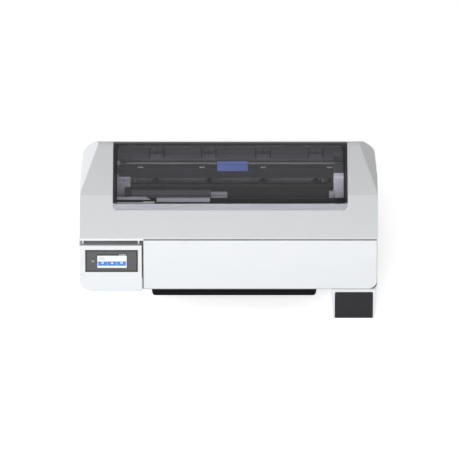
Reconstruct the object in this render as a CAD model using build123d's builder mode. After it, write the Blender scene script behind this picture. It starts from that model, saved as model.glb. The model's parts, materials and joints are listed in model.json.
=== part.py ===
from build123d import *
import os

# A wide printer for rolls of paper, without its stand, in millimetres.
# X runs along the width to the right, Y runs from the front to the back, Z is up.
# The origin is the middle of the four stand bolts, on the underside of the bottom tray.
# Sizes named "..._back" are measured from the front face, and "..._up" from the body's underside.
# Sizes named "..._inset" are measured inward from the nearer side.
# Sizes named "..._ahead" are measured forward from the rear face.

# Body form
body_width = 970.0
body_depth = 570.0
body_height = 235.0
front_edge_up = 200.0
top_slope_back = 200.0
rear_roll_radius = 90.0
front_edge_radius = 5.0
side_draft_start_back = 340.0
side_draft = 9.0
rear_corner_radius = 45.0
crown_start_back = 209.0
crown_taper = 0.204
crown_start_radius = 380.0
crown_rear_ahead = 25.0
crown_corner_radius = 24.0
crown_drop = 130.0
shell_wall = 3.0
seam = 0.5

# Underside
tray_drop = 29.0
tray_left_inset = 233.0
tray_right_inset = 199.0
tray_lean = 4.0
tray_corner_radius = 11.0
tray_edge_radius = 4.0
tray_front_back = 6.0
tray_depth = 480.0
tray_wall = 3.0
stand_spacing_x = 440.0
stand_spacing_y = 320.0
stand_hole_radius = 3.3

# Shell split
shell_split_up = 140.0
side_cover_reach = 60.0

# Printer cover over the print zone, and the opening under it
cover_left_inset = 107.0
cover_right_inset = 98.0
cover_front_back = 132.0
cover_rear_ahead = 27.0
cover_corner_radius = 23.0
cover_gap = 1.0
cover_sheet = 3.0
cover_rim_width = 5.0
cover_rim_thickness = 1.0
ledge_depth = 32.0
ledge_side = 7.0
cover_pivot_ahead = 38.5
cover_pivot_up = 206.0
cover_pin_radius = 3.0
cover_knuckle_radius = 7.5
cover_tail_relief = 8.0
roll_sweep_radius = 12.4

# Roll cover in the back
roll_cover_top_up = 194.0
roll_cover_bottom_up = 32.0
roll_cover_pin_radius = 2.5

# Front cover
front_cover_left_inset = 207.0
front_cover_side_gap = 0.6
front_cover_bottom_up = 3.0
front_cover_top_up = 194.5
front_cover_top_gap = 3.0
front_cover_corner_radius = 29.0
front_cover_swing_room = 4.0
front_cover_flange = 16.0
front_cover_pin_radius = 1.5
front_cover_pivot_up = 9.5
front_cover_pivot_back = 3.4
front_cover_lug_inset = 60.0
front_cover_stub_radius = 2.2

# Control panel
panel_right_inset = 202.0
panel_proud = 8.0
panel_side_proud = 1.5
panel_depth = 54.0
panel_top_up = 168.0
panel_bottom_up = -2.0
panel_lean = 15.0
panel_corner_radius = 42.0
panel_wall = 3.0
panel_recess_back = 64.0
panel_recess_top_up = 194.0
panel_pivot_back = 26.0
panel_pivot_up = 178.0
panel_pin_radius = 3.0
panel_ear_radius = 7.0
panel_ear_width = 5.0
bezel_width = 171.0
bezel_height = 82.0
bezel_centre_inset = 103.5
bezel_centre_down = 56.5
bezel_thickness = 1.6
screen_width = 97.0
screen_height = 54.0
screen_offset_x = 1.5
screen_thickness = 1.0
button_offset_x = -60.5
button_radius = 5.5
button_length = 7.0
button_proud = 1.0

# Frame of sheet steel
sheet = 2.0
base_lip = 15.0
left_frame_inset = 93.0
right_frame_inset = 17.0
frame_front_back = 175.0
frame_rear_ahead = 48.0
frame_top_up = 185.0

# Carriage rail, carriage and drive
rail_front_ahead = 138.0
rail_depth = 24.0
rail_bottom_up = 140.0
rail_height = 40.0
rail_wall = 3.0
carriage_park_inset = 88.0
carriage_width = 110.0
carriage_front_ahead = 220.0
carriage_bottom_up = 114.0
carriage_height = 88.0
carriage_rail_gap = 4.0
carriage_shoe_lift = 6.0
carriage_arm_width = 60.0
carriage_wall = 3.0
print_head_width = 50.0
print_head_depth = 46.0
print_head_thickness = 2.4
pulley_radius = 10.0
pulley_flange = 2.0
belt_width = 6.0
belt_thickness = 1.2
belt_play = 0.05
pulley_lift = 2.5
drive_pulley_inset = 43.0
idler_pulley_inset = 119.0
pulley_shaft_radius = 2.5
motor_radius = 15.0
motor_length = 36.0
encoder_height = 8.0
encoder_thickness = 0.6

# Platen, feed and pinch rollers
platen_left_inset = 145.0
platen_right_inset = 150.0
platen_up = 108.0
platen_front_ahead = 236.0
platen_depth = 94.0
platen_thickness = 3.0
platen_skirt = 26.0
feed_roller_radius = 14.0
feed_roller_ahead = 124.0
feed_roller_inset = 145.0
feed_shaft_radius = 5.0
shaft_play = 0.06
feed_gear_teeth = 60
pinion_teeth = 15
gear_module = 1.0
gear_width = 8.0
pinch_roller_radius = 6.0
pinch_roller_length = 30.0
pinch_pitch = 173.7
pinch_first_x = -236.6
pinch_count = 4
pinch_plate_width = 47.0
pinch_plate_length = 66.0
pinch_plate_ahead = 108.0
pinch_plate_up = 194.0
pinch_plate_thickness = 3.0
pinch_pivot_ahead = 84.0
pinch_pivot_up = 178.0
pinch_pin_radius = 3.0
handle_x = 12.0
handle_width = 101.0
handle_bottom_up = 170.0
handle_top_up = 192.0
handle_thickness = 2.6
handle_pin_radius = 1.2
handle_gap = 0.6

# Cutter
cutter_rail_ahead = 249.0
cutter_rail_depth = 8.0
cutter_rail_up = 122.0
cutter_rail_height = 14.0
cutter_x = -32.0
cutter_width = 54.0
cutter_height = 30.0

# Paper roll
spindle_ahead = 62.0
spindle_up = 62.0
spindle_radius = 12.0
spindle_journal_radius = 6.0
spindle_overhang = 33.0
paper_width = 610.0
flange_radius = 50.0
flange_thickness = 5.0
roll_holder_thickness = 8.0

# Ink tanks under the right end
tank_box_left_inset = 152.5
tank_box_right_inset = 3.0
tank_box_taper = 7.0
tank_box_drop = 114.0
tank_rear_gap = 14.0
tank_box_wall = 4.0
tank_door_gap = 0.8
tank_door_left_inset = 139.5
tank_door_right_inset = 16.5
tank_door_top = 10.0
tank_door_thickness = 3.0
tank_door_pin_radius = 2.0
ink_knuckle_length = 8.0
tank_names = ("black", "cyan", "magenta", "yellow")
tank_gap = 1.2
tank_height = 84.0
tank_front_back = 30.0
tank_length = 176.0
tank_port_radius = 6.0
tank_cap_length = 14.0

# Waste ink box in the right side
waste_front_back = 190.0
waste_width = 100.0
waste_up = 8.0
waste_height = 50.0
waste_length = 120.0
waste_gap = 0.8

# Power inlet and data ports in the back
inlet_inset = 83.0
inlet_up = 40.0
inlet_width = 28.0
inlet_height = 48.0
inlet_depth = 24.0
port_inset = 83.0
port_width = 18.0
port_height = 14.0
port_pitch = 20.0
port_first_up = 86.0
port_count = 2
port_depth = 16.0

# Hinges of the two top covers
arm_inset = 14.0
arm_length = 36.0
arm_thickness = 8.0
hinge_plate_gap = 6.0
hinge_plate_front_ahead = 60.0
roll_lug_width = 6.0
roll_lug_radius = 6.0
roll_cover_gap = 1.2
roll_pivot_ahead = 22.0
roll_pivot_up = 186.0

# Beam behind the rail
beam_front_ahead = 72.0
beam_depth = 40.0
beam_bottom_up = 152.0
beam_top_up = 194.0

# Plate at the left end of the rail
rail_bracket_bottom_up = 76.0
rail_bracket_top_up = 156.0
rail_bracket_width = 54.0
rail_bracket_inset = 14.0
rail_bracket_step = 28.0

# Air holes in the platen
vacuum_pitch = 24.0
vacuum_columns = 27
vacuum_radius = 1.6

# Station that caps the parked print head
cap_station_width = 84.0
cap_station_depth = 62.0
cap_station_bottom_up = 62.0
cap_lip_gap = 1.0
cap_seal_height = 4.0

# Sheet that guides the paper out, and the electronics
exit_guide_front_back = 26.0
exit_guide_front_up = 20.0
exit_guide_rear_up = 96.0
board_inset = 23.0
board_thickness = 1.6
board_depth = 190.0
board_height = 96.0
board_front_back = 130.0
board_bottom_up = 14.0
power_x = 0.0
power_width = 180.0
power_depth = 96.0
power_height = 46.0
power_front_back = 200.0

# Small clearances between moving pieces
rub_gap = 0.5
nip_gap = 0.3

front = -body_depth / 2
floor = tray_drop
half_width = body_width / 2
top = floor + body_height
rear = front + body_depth
cover_left = cover_left_inset - half_width
left_frame_x = left_frame_inset - half_width
idler_pulley_x = idler_pulley_inset - half_width
platen_left = platen_left_inset - half_width
inlet_x = inlet_inset - half_width
port_x = port_inset - half_width
board_x = board_inset - half_width
front_cover_left = front_cover_left_inset - half_width
panel_right = panel_right_inset - half_width
bezel_centre_x = bezel_centre_inset - half_width
tray_left = tray_left_inset - half_width
cover_right = half_width - cover_right_inset
right_frame_x = half_width - right_frame_inset
carriage_park_x = half_width - carriage_park_inset
drive_pulley_x = half_width - drive_pulley_inset
platen_right = half_width - platen_right_inset
tray_right = half_width - tray_right_inset
tank_box_left = half_width - tank_box_left_inset
tank_box_right = half_width - tank_box_right_inset
tank_door_left = half_width - tank_door_left_inset
tank_door_right = half_width - tank_door_right_inset
crown_rear_back = body_depth - crown_rear_ahead
cover_rear_back = body_depth - cover_rear_ahead
cover_pivot_back = body_depth - cover_pivot_ahead
roll_pivot_back = body_depth - roll_pivot_ahead
beam_front_back = body_depth - beam_front_ahead
hinge_plate_front_back = body_depth - hinge_plate_front_ahead
frame_rear_back = body_depth - frame_rear_ahead
spindle_back = body_depth - spindle_ahead
rail_front_back = body_depth - rail_front_ahead
feed_roller_back = body_depth - feed_roller_ahead
pinch_plate_back = body_depth - pinch_plate_ahead
pinch_pivot_back = body_depth - pinch_pivot_ahead
carriage_front_back = body_depth - carriage_front_ahead
platen_front_back = body_depth - platen_front_ahead
cutter_rail_back = body_depth - cutter_rail_ahead
tank_box_depth = tank_front_back + tank_length + tank_rear_gap
spindle_reach = paper_width / 2 + spindle_overhang
feed_roller_length = body_width - 2 * feed_roller_inset
feed_roller_z = floor + platen_up + 2 - feed_roller_radius
tank_count = len(tank_names)
ink_pivot_y = front + tank_door_thickness
ink_pivot_z = floor - tank_door_top - tank_door_gap - tank_door_pin_radius - 2.5


def back(distance):
    """The Y of a place that lies this far behind the front face."""
    return front + distance


def up(height):
    """The Z of a place that lies this far above the body's underside."""
    return floor + height


def block(x, y, z, mode=Mode.ADD):
    """Adds a box that runs between the two values of each pair."""
    with Locations(((x[0] + x[1]) / 2, (y[0] + y[1]) / 2, (z[0] + z[1]) / 2)):
        Box(x[1] - x[0], y[1] - y[0], z[1] - z[0], mode=mode)


def rod_x(x, y, z, radius, mode=Mode.ADD):
    """Adds a round rod along X between the two values of x."""
    with Locations(Location(((x[0] + x[1]) / 2, y, z), (0, 90, 0))):
        Cylinder(radius, x[1] - x[0], mode=mode)


def rod_y(x, y, z, radius, mode=Mode.ADD):
    """Adds a round rod along Y between the two values of y."""
    with Locations(Location((x, (y[0] + y[1]) / 2, z), (90, 0, 0))):
        Cylinder(radius, y[1] - y[0], mode=mode)


def rod_z(x, y, z, radius, mode=Mode.ADD):
    """Adds a round rod along Z between the two values of z."""
    with Locations(((x, y, (z[0] + z[1]) / 2))):
        Cylinder(radius, z[1] - z[0], mode=mode)


def save(piece, name):
    """Labels a finished piece and writes its file."""
    piece.part.label = name
    export_step(piece.part, "parts/" + name + ".step")


def side_profile(inset):
    """The body seen from the side: flat front, gentle slope, level top, round back edge."""
    with BuildSketch(Plane.YZ) as profile:
        with BuildLine():
            Polyline(
                (rear, up(body_height - rear_roll_radius)),
                (rear, floor),
                (front, floor),
                (front, up(front_edge_up)),
                (back(top_slope_back), top),
                (rear - rear_roll_radius, top),
            )
            RadiusArc(
                (rear - rear_roll_radius, top),
                (rear, up(body_height - rear_roll_radius)),
                rear_roll_radius,
            )
        make_face()
        front_edge = profile.vertices().group_by(Axis.X)[0].sort_by(Axis.Y)[-1]
        fillet(front_edge, front_edge_radius)
        if inset > 0:
            offset(amount=-inset, kind=Kind.INTERSECTION)
    return profile.sketch


def plan_outline(inset):
    """The body seen from above: straight sides that draw in a little towards round back corners."""
    with BuildSketch(Plane.XY) as plan:
        with BuildLine():
            Polyline(
                (-half_width, front - 1),
                (half_width, front - 1),
                (half_width, back(side_draft_start_back)),
                (half_width - side_draft, rear),
                (-half_width + side_draft, rear),
                (-half_width, back(side_draft_start_back)),
                close=True,
            )
        make_face()
        fillet(plan.vertices().group_by(Axis.Y)[-1], rear_corner_radius)
        if inset > 0:
            offset(amount=-inset, kind=Kind.INTERSECTION)
    return plan.sketch


def crown_outline(growth):
    """The edge of the flat top seen from above, grown outwards by the given distance."""
    crown_rear = back(crown_rear_back)
    crown_rear_x = half_width - crown_taper * (crown_rear_back - crown_start_back)
    with BuildSketch(Plane.XY) as outline:
        with BuildLine():
            Polyline(
                (-half_width, front - 200),
                (half_width, front - 200),
                (half_width, back(crown_start_back)),
                (crown_rear_x, crown_rear),
                (-crown_rear_x, crown_rear),
                (-half_width, back(crown_start_back)),
                close=True,
            )
        make_face()
        corners = outline.vertices().group_by(Axis.Y)
        fillet(corners[-1], crown_corner_radius)
        side_corners = outline.vertices().filter_by_position(
            Axis.Y, back(crown_start_back) - 1, back(crown_start_back) + 1
        )
        fillet(side_corners, crown_start_radius)
        if growth != 0:
            offset(amount=growth, kind=Kind.INTERSECTION)
    return outline.sketch


def body_form(inset):
    """The body's outer form, drawn in by inset on every side."""
    diagonal = inset * 2**0.5
    with BuildPart() as crown:
        with BuildSketch(Plane.XY.offset(top - crown_drop)):
            add(crown_outline(crown_drop - diagonal))
        extrude(amount=-body_height, mode=Mode.ADD)
        with BuildSketch(Plane.XY.offset(top - crown_drop)):
            add(crown_outline(crown_drop - diagonal))
        with BuildSketch(Plane.XY.offset(top + 1)):
            add(crown_outline(-1 - diagonal))
        loft(ruled=True)
    with BuildPart() as form:
        add(side_profile(inset))
        extrude(amount=half_width + 1, dir=(1, 0, 0), both=True)
        with BuildSketch(Plane.XY.offset(floor - 1)):
            add(plan_outline(inset))
        extrude(amount=body_height + 2, mode=Mode.INTERSECT)
        add(crown.part, mode=Mode.INTERSECT)
    return form.part


def upper_cover(outer, inner, under_sheet, ledge_under):
    """The white top: the band in front, both ears with their facets, and the window's ledge."""
    window_x = (cover_left - cover_gap, cover_right + cover_gap)
    window_y = (back(cover_front_back - cover_gap), back(cover_rear_back + cover_gap))
    margin = shell_wall
    opening_x = (cover_left + ledge_side, cover_right - ledge_side)
    opening_y = (back(cover_front_back + ledge_depth), back(cover_rear_back + cover_gap))
    tall = (up(body_height / 2), top + 10)
    with BuildPart() as ledge:
        add(outer)
        add(ledge_under, mode=Mode.SUBTRACT)
        block((window_x[0] - margin, window_x[1] + margin), (window_y[0] - margin, window_y[1] + margin),
              tall, mode=Mode.INTERSECT)
    with BuildPart() as recess:
        add(outer)
        add(under_sheet, mode=Mode.SUBTRACT)
        block(window_x, window_y, tall, mode=Mode.INTERSECT)
    with BuildPart() as cover:
        add(outer)
        add(inner, mode=Mode.SUBTRACT)
        add(ledge.part)
        add(recess.part, mode=Mode.SUBTRACT)
        block(opening_x, opening_y, tall, mode=Mode.SUBTRACT)
        block(window_x, (window_y[1] - cover_tail_relief, window_y[1]), tall, mode=Mode.SUBTRACT)
        rod_x((cover_left - seam, cover_right + seam), back(roll_pivot_back), up(roll_pivot_up),
              roll_sweep_radius,
              mode=Mode.SUBTRACT)
        block((-body_width, body_width), (front - 10, rear + 10), (floor - 10, up(shell_split_up)),
              mode=Mode.SUBTRACT)
        block((-half_width - 10, half_width - shell_wall), (front - 10, back(panel_recess_back)),
              (floor, up(panel_recess_top_up)), mode=Mode.SUBTRACT)
        block((front_cover_left - seam, half_width - shell_wall), (front - 10, back(shell_wall + 1)),
              (floor, up(front_cover_top_up + front_cover_top_gap)), mode=Mode.SUBTRACT)
        block((cover_left - seam, cover_right + seam), (back(cover_rear_back), rear + 10),
              (floor, up(roll_cover_top_up + seam)), mode=Mode.SUBTRACT)
    save(cover, "upper_cover")


def side_covers(outer, inner):
    """The lower side shells, each with its round back corner."""
    below = (up(shell_wall), up(shell_split_up - seam))
    inner_x = half_width - side_cover_reach
    with BuildPart() as front_room:
        block((0, half_width - shell_wall), (front - 10, back(shell_wall + 1)),
              (floor - front_cover_swing_room, up(shell_split_up)))
        corner = front_room.edges().filter_by(Axis.Y).group_by(Axis.Z)[0].sort_by(Axis.X)[-1]
        fillet(corner, front_cover_corner_radius)
    with BuildPart() as right_side_cover:
        add(outer)
        add(inner, mode=Mode.SUBTRACT)
        block((inner_x, half_width + 10), (front - 10, rear + 10), below, mode=Mode.INTERSECT)
        add(front_room.part, mode=Mode.SUBTRACT)
        block((inner_x, half_width + 10),
              (back(waste_front_back - waste_gap), back(waste_front_back + waste_width + waste_gap)),
              (up(waste_up - waste_gap), up(waste_up + waste_height + waste_gap)), mode=Mode.SUBTRACT)
    save(right_side_cover, "right_side_cover")
    with BuildPart() as left_side_cover:
        add(outer)
        add(inner, mode=Mode.SUBTRACT)
        block((-half_width - 10, -inner_x), (back(panel_recess_back), rear + 10), below,
              mode=Mode.INTERSECT)
    save(left_side_cover, "left_side_cover")


def rear_cover(outer, inner):
    """The lower back shell around the roll cover, with holes for the inlet and the ports."""
    below = (up(shell_wall), up(shell_split_up - seam))
    reach = half_width - side_cover_reach - seam
    with BuildPart() as cover:
        add(outer)
        add(inner, mode=Mode.SUBTRACT)
        block((-reach, reach), (rear - rear_corner_radius, rear + 10), below, mode=Mode.INTERSECT)
        block((cover_left - seam, cover_right + seam), (rear - 50, rear + 10),
              (up(roll_cover_bottom_up - seam), top), mode=Mode.SUBTRACT)
        block((inlet_x - inlet_width / 2, inlet_x + inlet_width / 2), (rear - 50, rear + 10),
              (up(inlet_up - inlet_height / 2), up(inlet_up + inlet_height / 2)), mode=Mode.SUBTRACT)
        for port in range(port_count):
            middle = port_first_up + port * port_pitch
            block((port_x - port_width / 2, port_x + port_width / 2), (rear - 50, rear + 10),
                  (up(middle - port_height / 2), up(middle + port_height / 2)), mode=Mode.SUBTRACT)
    save(cover, "rear_cover")


def roll_cover(outer, inner):
    """The hinged cover in the back that the paper roll goes in through, with its two hinge lugs."""
    lugs = (cover_left + arm_inset, cover_right - arm_inset)
    with BuildPart() as arms:
        for x in lugs:
            block((x - roll_lug_width / 2, x + roll_lug_width / 2), (back(roll_pivot_back), rear - 2),
                  (up(roll_pivot_up - roll_lug_radius), up(roll_pivot_up)))
        add(outer, mode=Mode.INTERSECT)
    with BuildPart() as cover:
        add(outer)
        add(inner, mode=Mode.SUBTRACT)
        block((cover_left + seam, cover_right - seam), (back(cover_rear_back), rear + 10),
              (up(roll_cover_bottom_up + seam), up(roll_cover_top_up - roll_cover_gap)),
              mode=Mode.INTERSECT)
        add(arms.part)
        for x in lugs:
            rod_x((x - roll_lug_width / 2, x + roll_lug_width / 2), back(roll_pivot_back),
                  up(roll_pivot_up),
                  roll_lug_radius)
        for x in lugs:
            rod_x((x - roll_lug_width, x + roll_lug_width), back(roll_pivot_back), up(roll_pivot_up),
                  roll_cover_pin_radius + shaft_play, mode=Mode.SUBTRACT)
    save(cover, "roll_cover")


def printer_cover(outer, under_sheet):
    """The tinted sheet over the print zone, flush with the top, with a black rim at its sides and back."""
    sheet_y = (back(cover_front_back), back(cover_rear_back))
    tall = (up(body_height / 2), top + 10)
    with BuildPart() as region:
        block((cover_left, cover_right), sheet_y, tall)
        fillet(region.edges().filter_by(Axis.Z).group_by(Axis.Y)[0], cover_corner_radius)
    with BuildPart() as cover:
        add(outer)
        add(under_sheet, mode=Mode.SUBTRACT)
        add(region.part, mode=Mode.INTERSECT)
    save(cover, "printer_cover")


def cover_rim(under_sheet, under_rim):
    """The black strip bonded under the sheet at both sides and the back, and the two hinge arms on it."""
    inset = ledge_side + 1
    rim_x = (cover_left + inset, cover_right - inset)
    rim_y = (back(cover_front_back + ledge_depth + 1), back(cover_rear_back - 2))
    tall = (up(body_height / 2), top + 10)
    pivot = (back(cover_pivot_back), up(cover_pivot_up))
    arms_x = (cover_left + arm_inset, cover_right - arm_inset)
    half = arm_thickness / 2
    with BuildPart() as arms:
        for x in arms_x:
            block((x - half, x + half), (pivot[0] - arm_length, pivot[0]), (pivot[1], top))
            rod_x((x - half, x + half), pivot[0], pivot[1], cover_knuckle_radius)
        add(under_rim, mode=Mode.INTERSECT)
    with BuildPart() as rim:
        add(under_sheet)
        add(under_rim, mode=Mode.SUBTRACT)
        block(rim_x, rim_y, tall, mode=Mode.INTERSECT)
        block((rim_x[0] + cover_rim_width, rim_x[1] - cover_rim_width),
              (rim_y[0] - 1, rim_y[1] - 2 * cover_rim_width), tall, mode=Mode.SUBTRACT)
        add(arms.part)
        for x in arms_x:
            rod_x((x - 2 * half, x + 2 * half), pivot[0], pivot[1], cover_pin_radius + shaft_play,
                  mode=Mode.SUBTRACT)
    save(rim, "cover_rim")


def steel_brackets():
    """The two plates that carry both top covers, and the ribbed plate at the left end of the rail."""
    pivot = (back(cover_pivot_back), up(cover_pivot_up))
    roll_pivot = (back(roll_pivot_back), up(roll_pivot_up))
    rail_front = back(rail_front_back)
    rail_x = left_frame_x + sheet
    bracket_z = (up(rail_bracket_bottom_up), up(rail_bracket_top_up))
    plates_x = (cover_left - hinge_plate_gap - sheet, cover_right + hinge_plate_gap)
    beam_rear = back(beam_front_back + beam_depth)
    with BuildPart() as plates:
        for x in plates_x:
            block((x, x + sheet), (back(hinge_plate_front_back), beam_rear), (up(beam_top_up), pivot[1]))
            block((x, x + sheet), (beam_rear, roll_pivot[0] - 2), (roll_pivot[1], pivot[1] - 6))
            rod_x((x, x + sheet), pivot[0], pivot[1], cover_pin_radius + 2)
            rod_x((x, x + sheet), roll_pivot[0], roll_pivot[1], roll_cover_pin_radius + 2)
        for x in plates_x:
            rod_x((x - 1, x + sheet + 1), pivot[0], pivot[1], cover_pin_radius, mode=Mode.SUBTRACT)
            rod_x((x - 1, x + sheet + 1), roll_pivot[0], roll_pivot[1], roll_cover_pin_radius,
                  mode=Mode.SUBTRACT)
        block((rail_x, rail_x + rail_bracket_step), (rail_front - sheet, rail_front), bracket_z)
        block((rail_x, rail_x + rail_bracket_inset + rail_bracket_width), (rail_front - sheet, rail_front),
              (bracket_z[0], up(rail_bottom_up + carriage_shoe_lift) - rub_gap))
        for step in range(3):
            x = rail_x + 16 + step * 5
            block((x, x + 2), (rail_front - sheet - 1.5, rail_front - sheet), bracket_z)
        rod_y(rail_x + rail_bracket_inset + rail_bracket_width * 0.62,
              (rail_front - 10, rail_front + 10), bracket_z[1] - 24, 4,
              mode=Mode.SUBTRACT)
    save(plates, "steel_brackets")


def hinge_pins():
    """The pins of the two top covers, the front cover, the control panel and the ink cover."""
    pivot = (back(cover_pivot_back), up(cover_pivot_up))
    roll_pivot = (back(roll_pivot_back), up(roll_pivot_up))
    panel_pivot = (back(panel_pivot_back), up(panel_pivot_up))
    front_pivot = (back(front_cover_pivot_back), up(front_cover_pivot_up))
    plates_x = (cover_left - hinge_plate_gap - sheet, cover_right + hinge_plate_gap)
    reach = arm_inset + arm_thickness / 2 + 1
    outer_ends = (plates_x[0], plates_x[1] + sheet)
    inner_ends = (cover_left + reach, cover_right - reach)
    with BuildPart() as pins:
        for outer_end, inner_end in zip(outer_ends, inner_ends):
            ends = (min(outer_end, inner_end), max(outer_end, inner_end))
            rod_x(ends, pivot[0], pivot[1], cover_pin_radius)
            rod_x(ends, roll_pivot[0], roll_pivot[1], roll_cover_pin_radius)
        for x in panel_ears():
            rod_x((x - 1, x + panel_ear_width + rub_gap), panel_pivot[0], panel_pivot[1], panel_pin_radius)
        for x in front_cover_lugs():
            rod_x((x - 4, x + 4 + rub_gap), front_pivot[0], front_pivot[1], front_cover_pin_radius)
        for x in (tank_door_left, tank_door_right - ink_knuckle_length):
            outward = -tank_door_gap if x == tank_door_left else tank_door_gap
            rod_x((x + min(outward, 0), x + ink_knuckle_length + max(outward, 0)), ink_pivot_y, ink_pivot_z,
                  tank_door_pin_radius)
    save(pins, "hinge_pins")


def front_cover():
    """The long front cover: a shallow tray with turned edges that swings down on two lugs."""
    cover_x = (front_cover_left, half_width - shell_wall - front_cover_side_gap)
    cover_z = (up(front_cover_bottom_up), up(front_cover_top_up))
    pivot = (back(front_cover_pivot_back), up(front_cover_pivot_up))
    with BuildPart() as cover:
        block(cover_x, (front, back(front_cover_flange)), cover_z)
        corner = cover.edges().filter_by(Axis.Y).group_by(Axis.Z)[0].sort_by(Axis.X)[-1]
        fillet(corner, front_cover_corner_radius)
        fillet(cover.faces().sort_by(Axis.Y)[0].edges(), 2)
        opened = cover.faces().sort_by(Axis.Y)[-1]
        offset(amount=-shell_wall, openings=opened)
    with BuildPart() as finished:
        add(cover.part)
        for x in front_cover_lugs():
            block((x - 4, x + 4), (front + 1, back(front_cover_flange - 7)), (cover_z[0] + 1, pivot[1] + 5))
            block((x + 4, x + 4 + 2 * rub_gap + 4), (front + 1, back(front_cover_flange + 1)),
                  (cover_z[0] - 1, pivot[1] + front_cover_stub_radius + rub_gap), mode=Mode.SUBTRACT)
            rod_x((x - 6, x + 6), pivot[0], pivot[1], front_cover_pin_radius + shaft_play,
                  mode=Mode.SUBTRACT)
    save(finished, "front_cover")


def front_cover_lugs():
    """The X of the two lugs that the front cover turns on."""
    return (front_cover_left + front_cover_lug_inset, half_width - 1.5 * front_cover_lug_inset)


def panel_face(distance_down, depth=0.0):
    """The plane of the control panel's leaning face, at a distance below its top edge."""
    tilt = panel_lean / (panel_top_up - panel_bottom_up)
    run = (1 + tilt**2) ** 0.5
    y = front - panel_proud + tilt * (panel_top_up - panel_bottom_up - distance_down / run)
    z = up(panel_top_up) - distance_down / run
    face = Plane(origin=(bezel_centre_x, y, z), x_dir=(1, 0, 0), z_dir=(0, -1, tilt))
    return face.offset(-depth)


def control_panel():
    """The tilting control panel: its housing, the black bezel, the touch screen and the power button."""
    left = -half_width - panel_side_proud
    bottom = up(panel_bottom_up)
    head = up(panel_top_up)
    pivot = (back(panel_pivot_back), up(panel_pivot_up))
    with BuildPart() as body:
        with BuildSketch(Plane.YZ.offset(left)):
            with BuildLine():
                Polyline(
                    (front - panel_proud, bottom),
                    (front - panel_proud + panel_lean, head),
                    (front + panel_depth, head),
                    (front + panel_depth, bottom),
                    close=True,
                )
            make_face()
        extrude(amount=panel_right - left)
        corner = body.edges().filter_by(Axis.Y, tolerance=10).group_by(Axis.Z)[0].sort_by(Axis.X)[0]
        fillet(corner, panel_corner_radius)
        fillet(body.faces().sort_by(Axis.Y)[0].edges(), 2.5)
    with BuildPart() as housing:
        add(body.part)
        block((left + panel_corner_radius / 3 + panel_wall, panel_right - panel_wall),
              (front + panel_lean, front + panel_depth + 1),
              (bottom + panel_corner_radius / 3, head - panel_wall),
              mode=Mode.SUBTRACT)
        with BuildSketch(panel_face(bezel_centre_down, bezel_thickness)):
            Rectangle(bezel_width + 2 * seam, bezel_height + 2 * seam)
        extrude(amount=bezel_thickness + 1, mode=Mode.SUBTRACT)
        with BuildSketch(panel_face(bezel_centre_down, 0)):
            with Locations((button_offset_x, 0)):
                Circle(button_radius + seam)
        extrude(amount=-panel_lean - panel_proud - 10, mode=Mode.SUBTRACT)
        for x in panel_ears():
            block((x, x + panel_ear_width), (pivot[0] - panel_ear_radius, pivot[0] + panel_ear_radius),
                  (head - panel_wall, pivot[1]))
            rod_x((x, x + panel_ear_width), pivot[0], pivot[1], panel_ear_radius)
            rod_x((x - 1, x + panel_ear_width + 1), pivot[0], pivot[1], panel_pin_radius + shaft_play,
                  mode=Mode.SUBTRACT)
    save(housing, "control_panel_housing")
    with BuildPart() as bezel:
        with BuildSketch(panel_face(bezel_centre_down, bezel_thickness)):
            Rectangle(bezel_width, bezel_height)
            with Locations((screen_offset_x, 0)):
                Rectangle(screen_width, screen_height, mode=Mode.SUBTRACT)
            with Locations((button_offset_x, 0)):
                Circle(button_radius + seam, mode=Mode.SUBTRACT)
        extrude(amount=bezel_thickness)
    save(bezel, "control_panel_bezel")
    with BuildPart() as screen:
        with BuildSketch(panel_face(bezel_centre_down, bezel_thickness)):
            with Locations((screen_offset_x, 0)):
                Rectangle(screen_width, screen_height)
        extrude(amount=screen_thickness)
    save(screen, "touch_screen")
    with BuildPart() as button:
        with BuildSketch(panel_face(bezel_centre_down, button_length - button_proud)):
            with Locations((button_offset_x, 0)):
                Circle(button_radius)
        extrude(amount=button_length)
        fillet(button.edges().sort_by(Axis.Y)[0], 0.6)
    save(button, "power_button")


def panel_ears():
    """The left X of the two ears that the control panel hangs from."""
    return (-half_width + 8, panel_right - 8 - panel_ear_width)


def panel_recess():
    """The grey liner behind and beside the control panel, with the two pivot pins on its brackets."""
    pivot = (back(panel_pivot_back), up(panel_pivot_up))
    inner_left = -half_width + shell_wall + 3 * seam + sheet
    wall_x = front_cover_left - seam - sheet
    roof = up(panel_recess_top_up)
    with BuildPart() as liner:
        block((inner_left, wall_x + sheet - 1), (back(panel_recess_back), back(panel_recess_back) + sheet),
              (up(sheet), roof))
        block((wall_x - 1, wall_x + sheet - 1), (front + shell_wall, back(panel_recess_back)),
              (up(sheet), roof))
        block((inner_left, wall_x), (front + shell_wall + 3, back(panel_recess_back)), (roof - sheet, roof))
        for x in panel_ears():
            side = x + panel_ear_width + rub_gap
            block((side, side + 3), (pivot[0] - 5, pivot[0] + 5), (pivot[1] - 5, roof - sheet))
    save(liner, "panel_recess")


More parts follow.
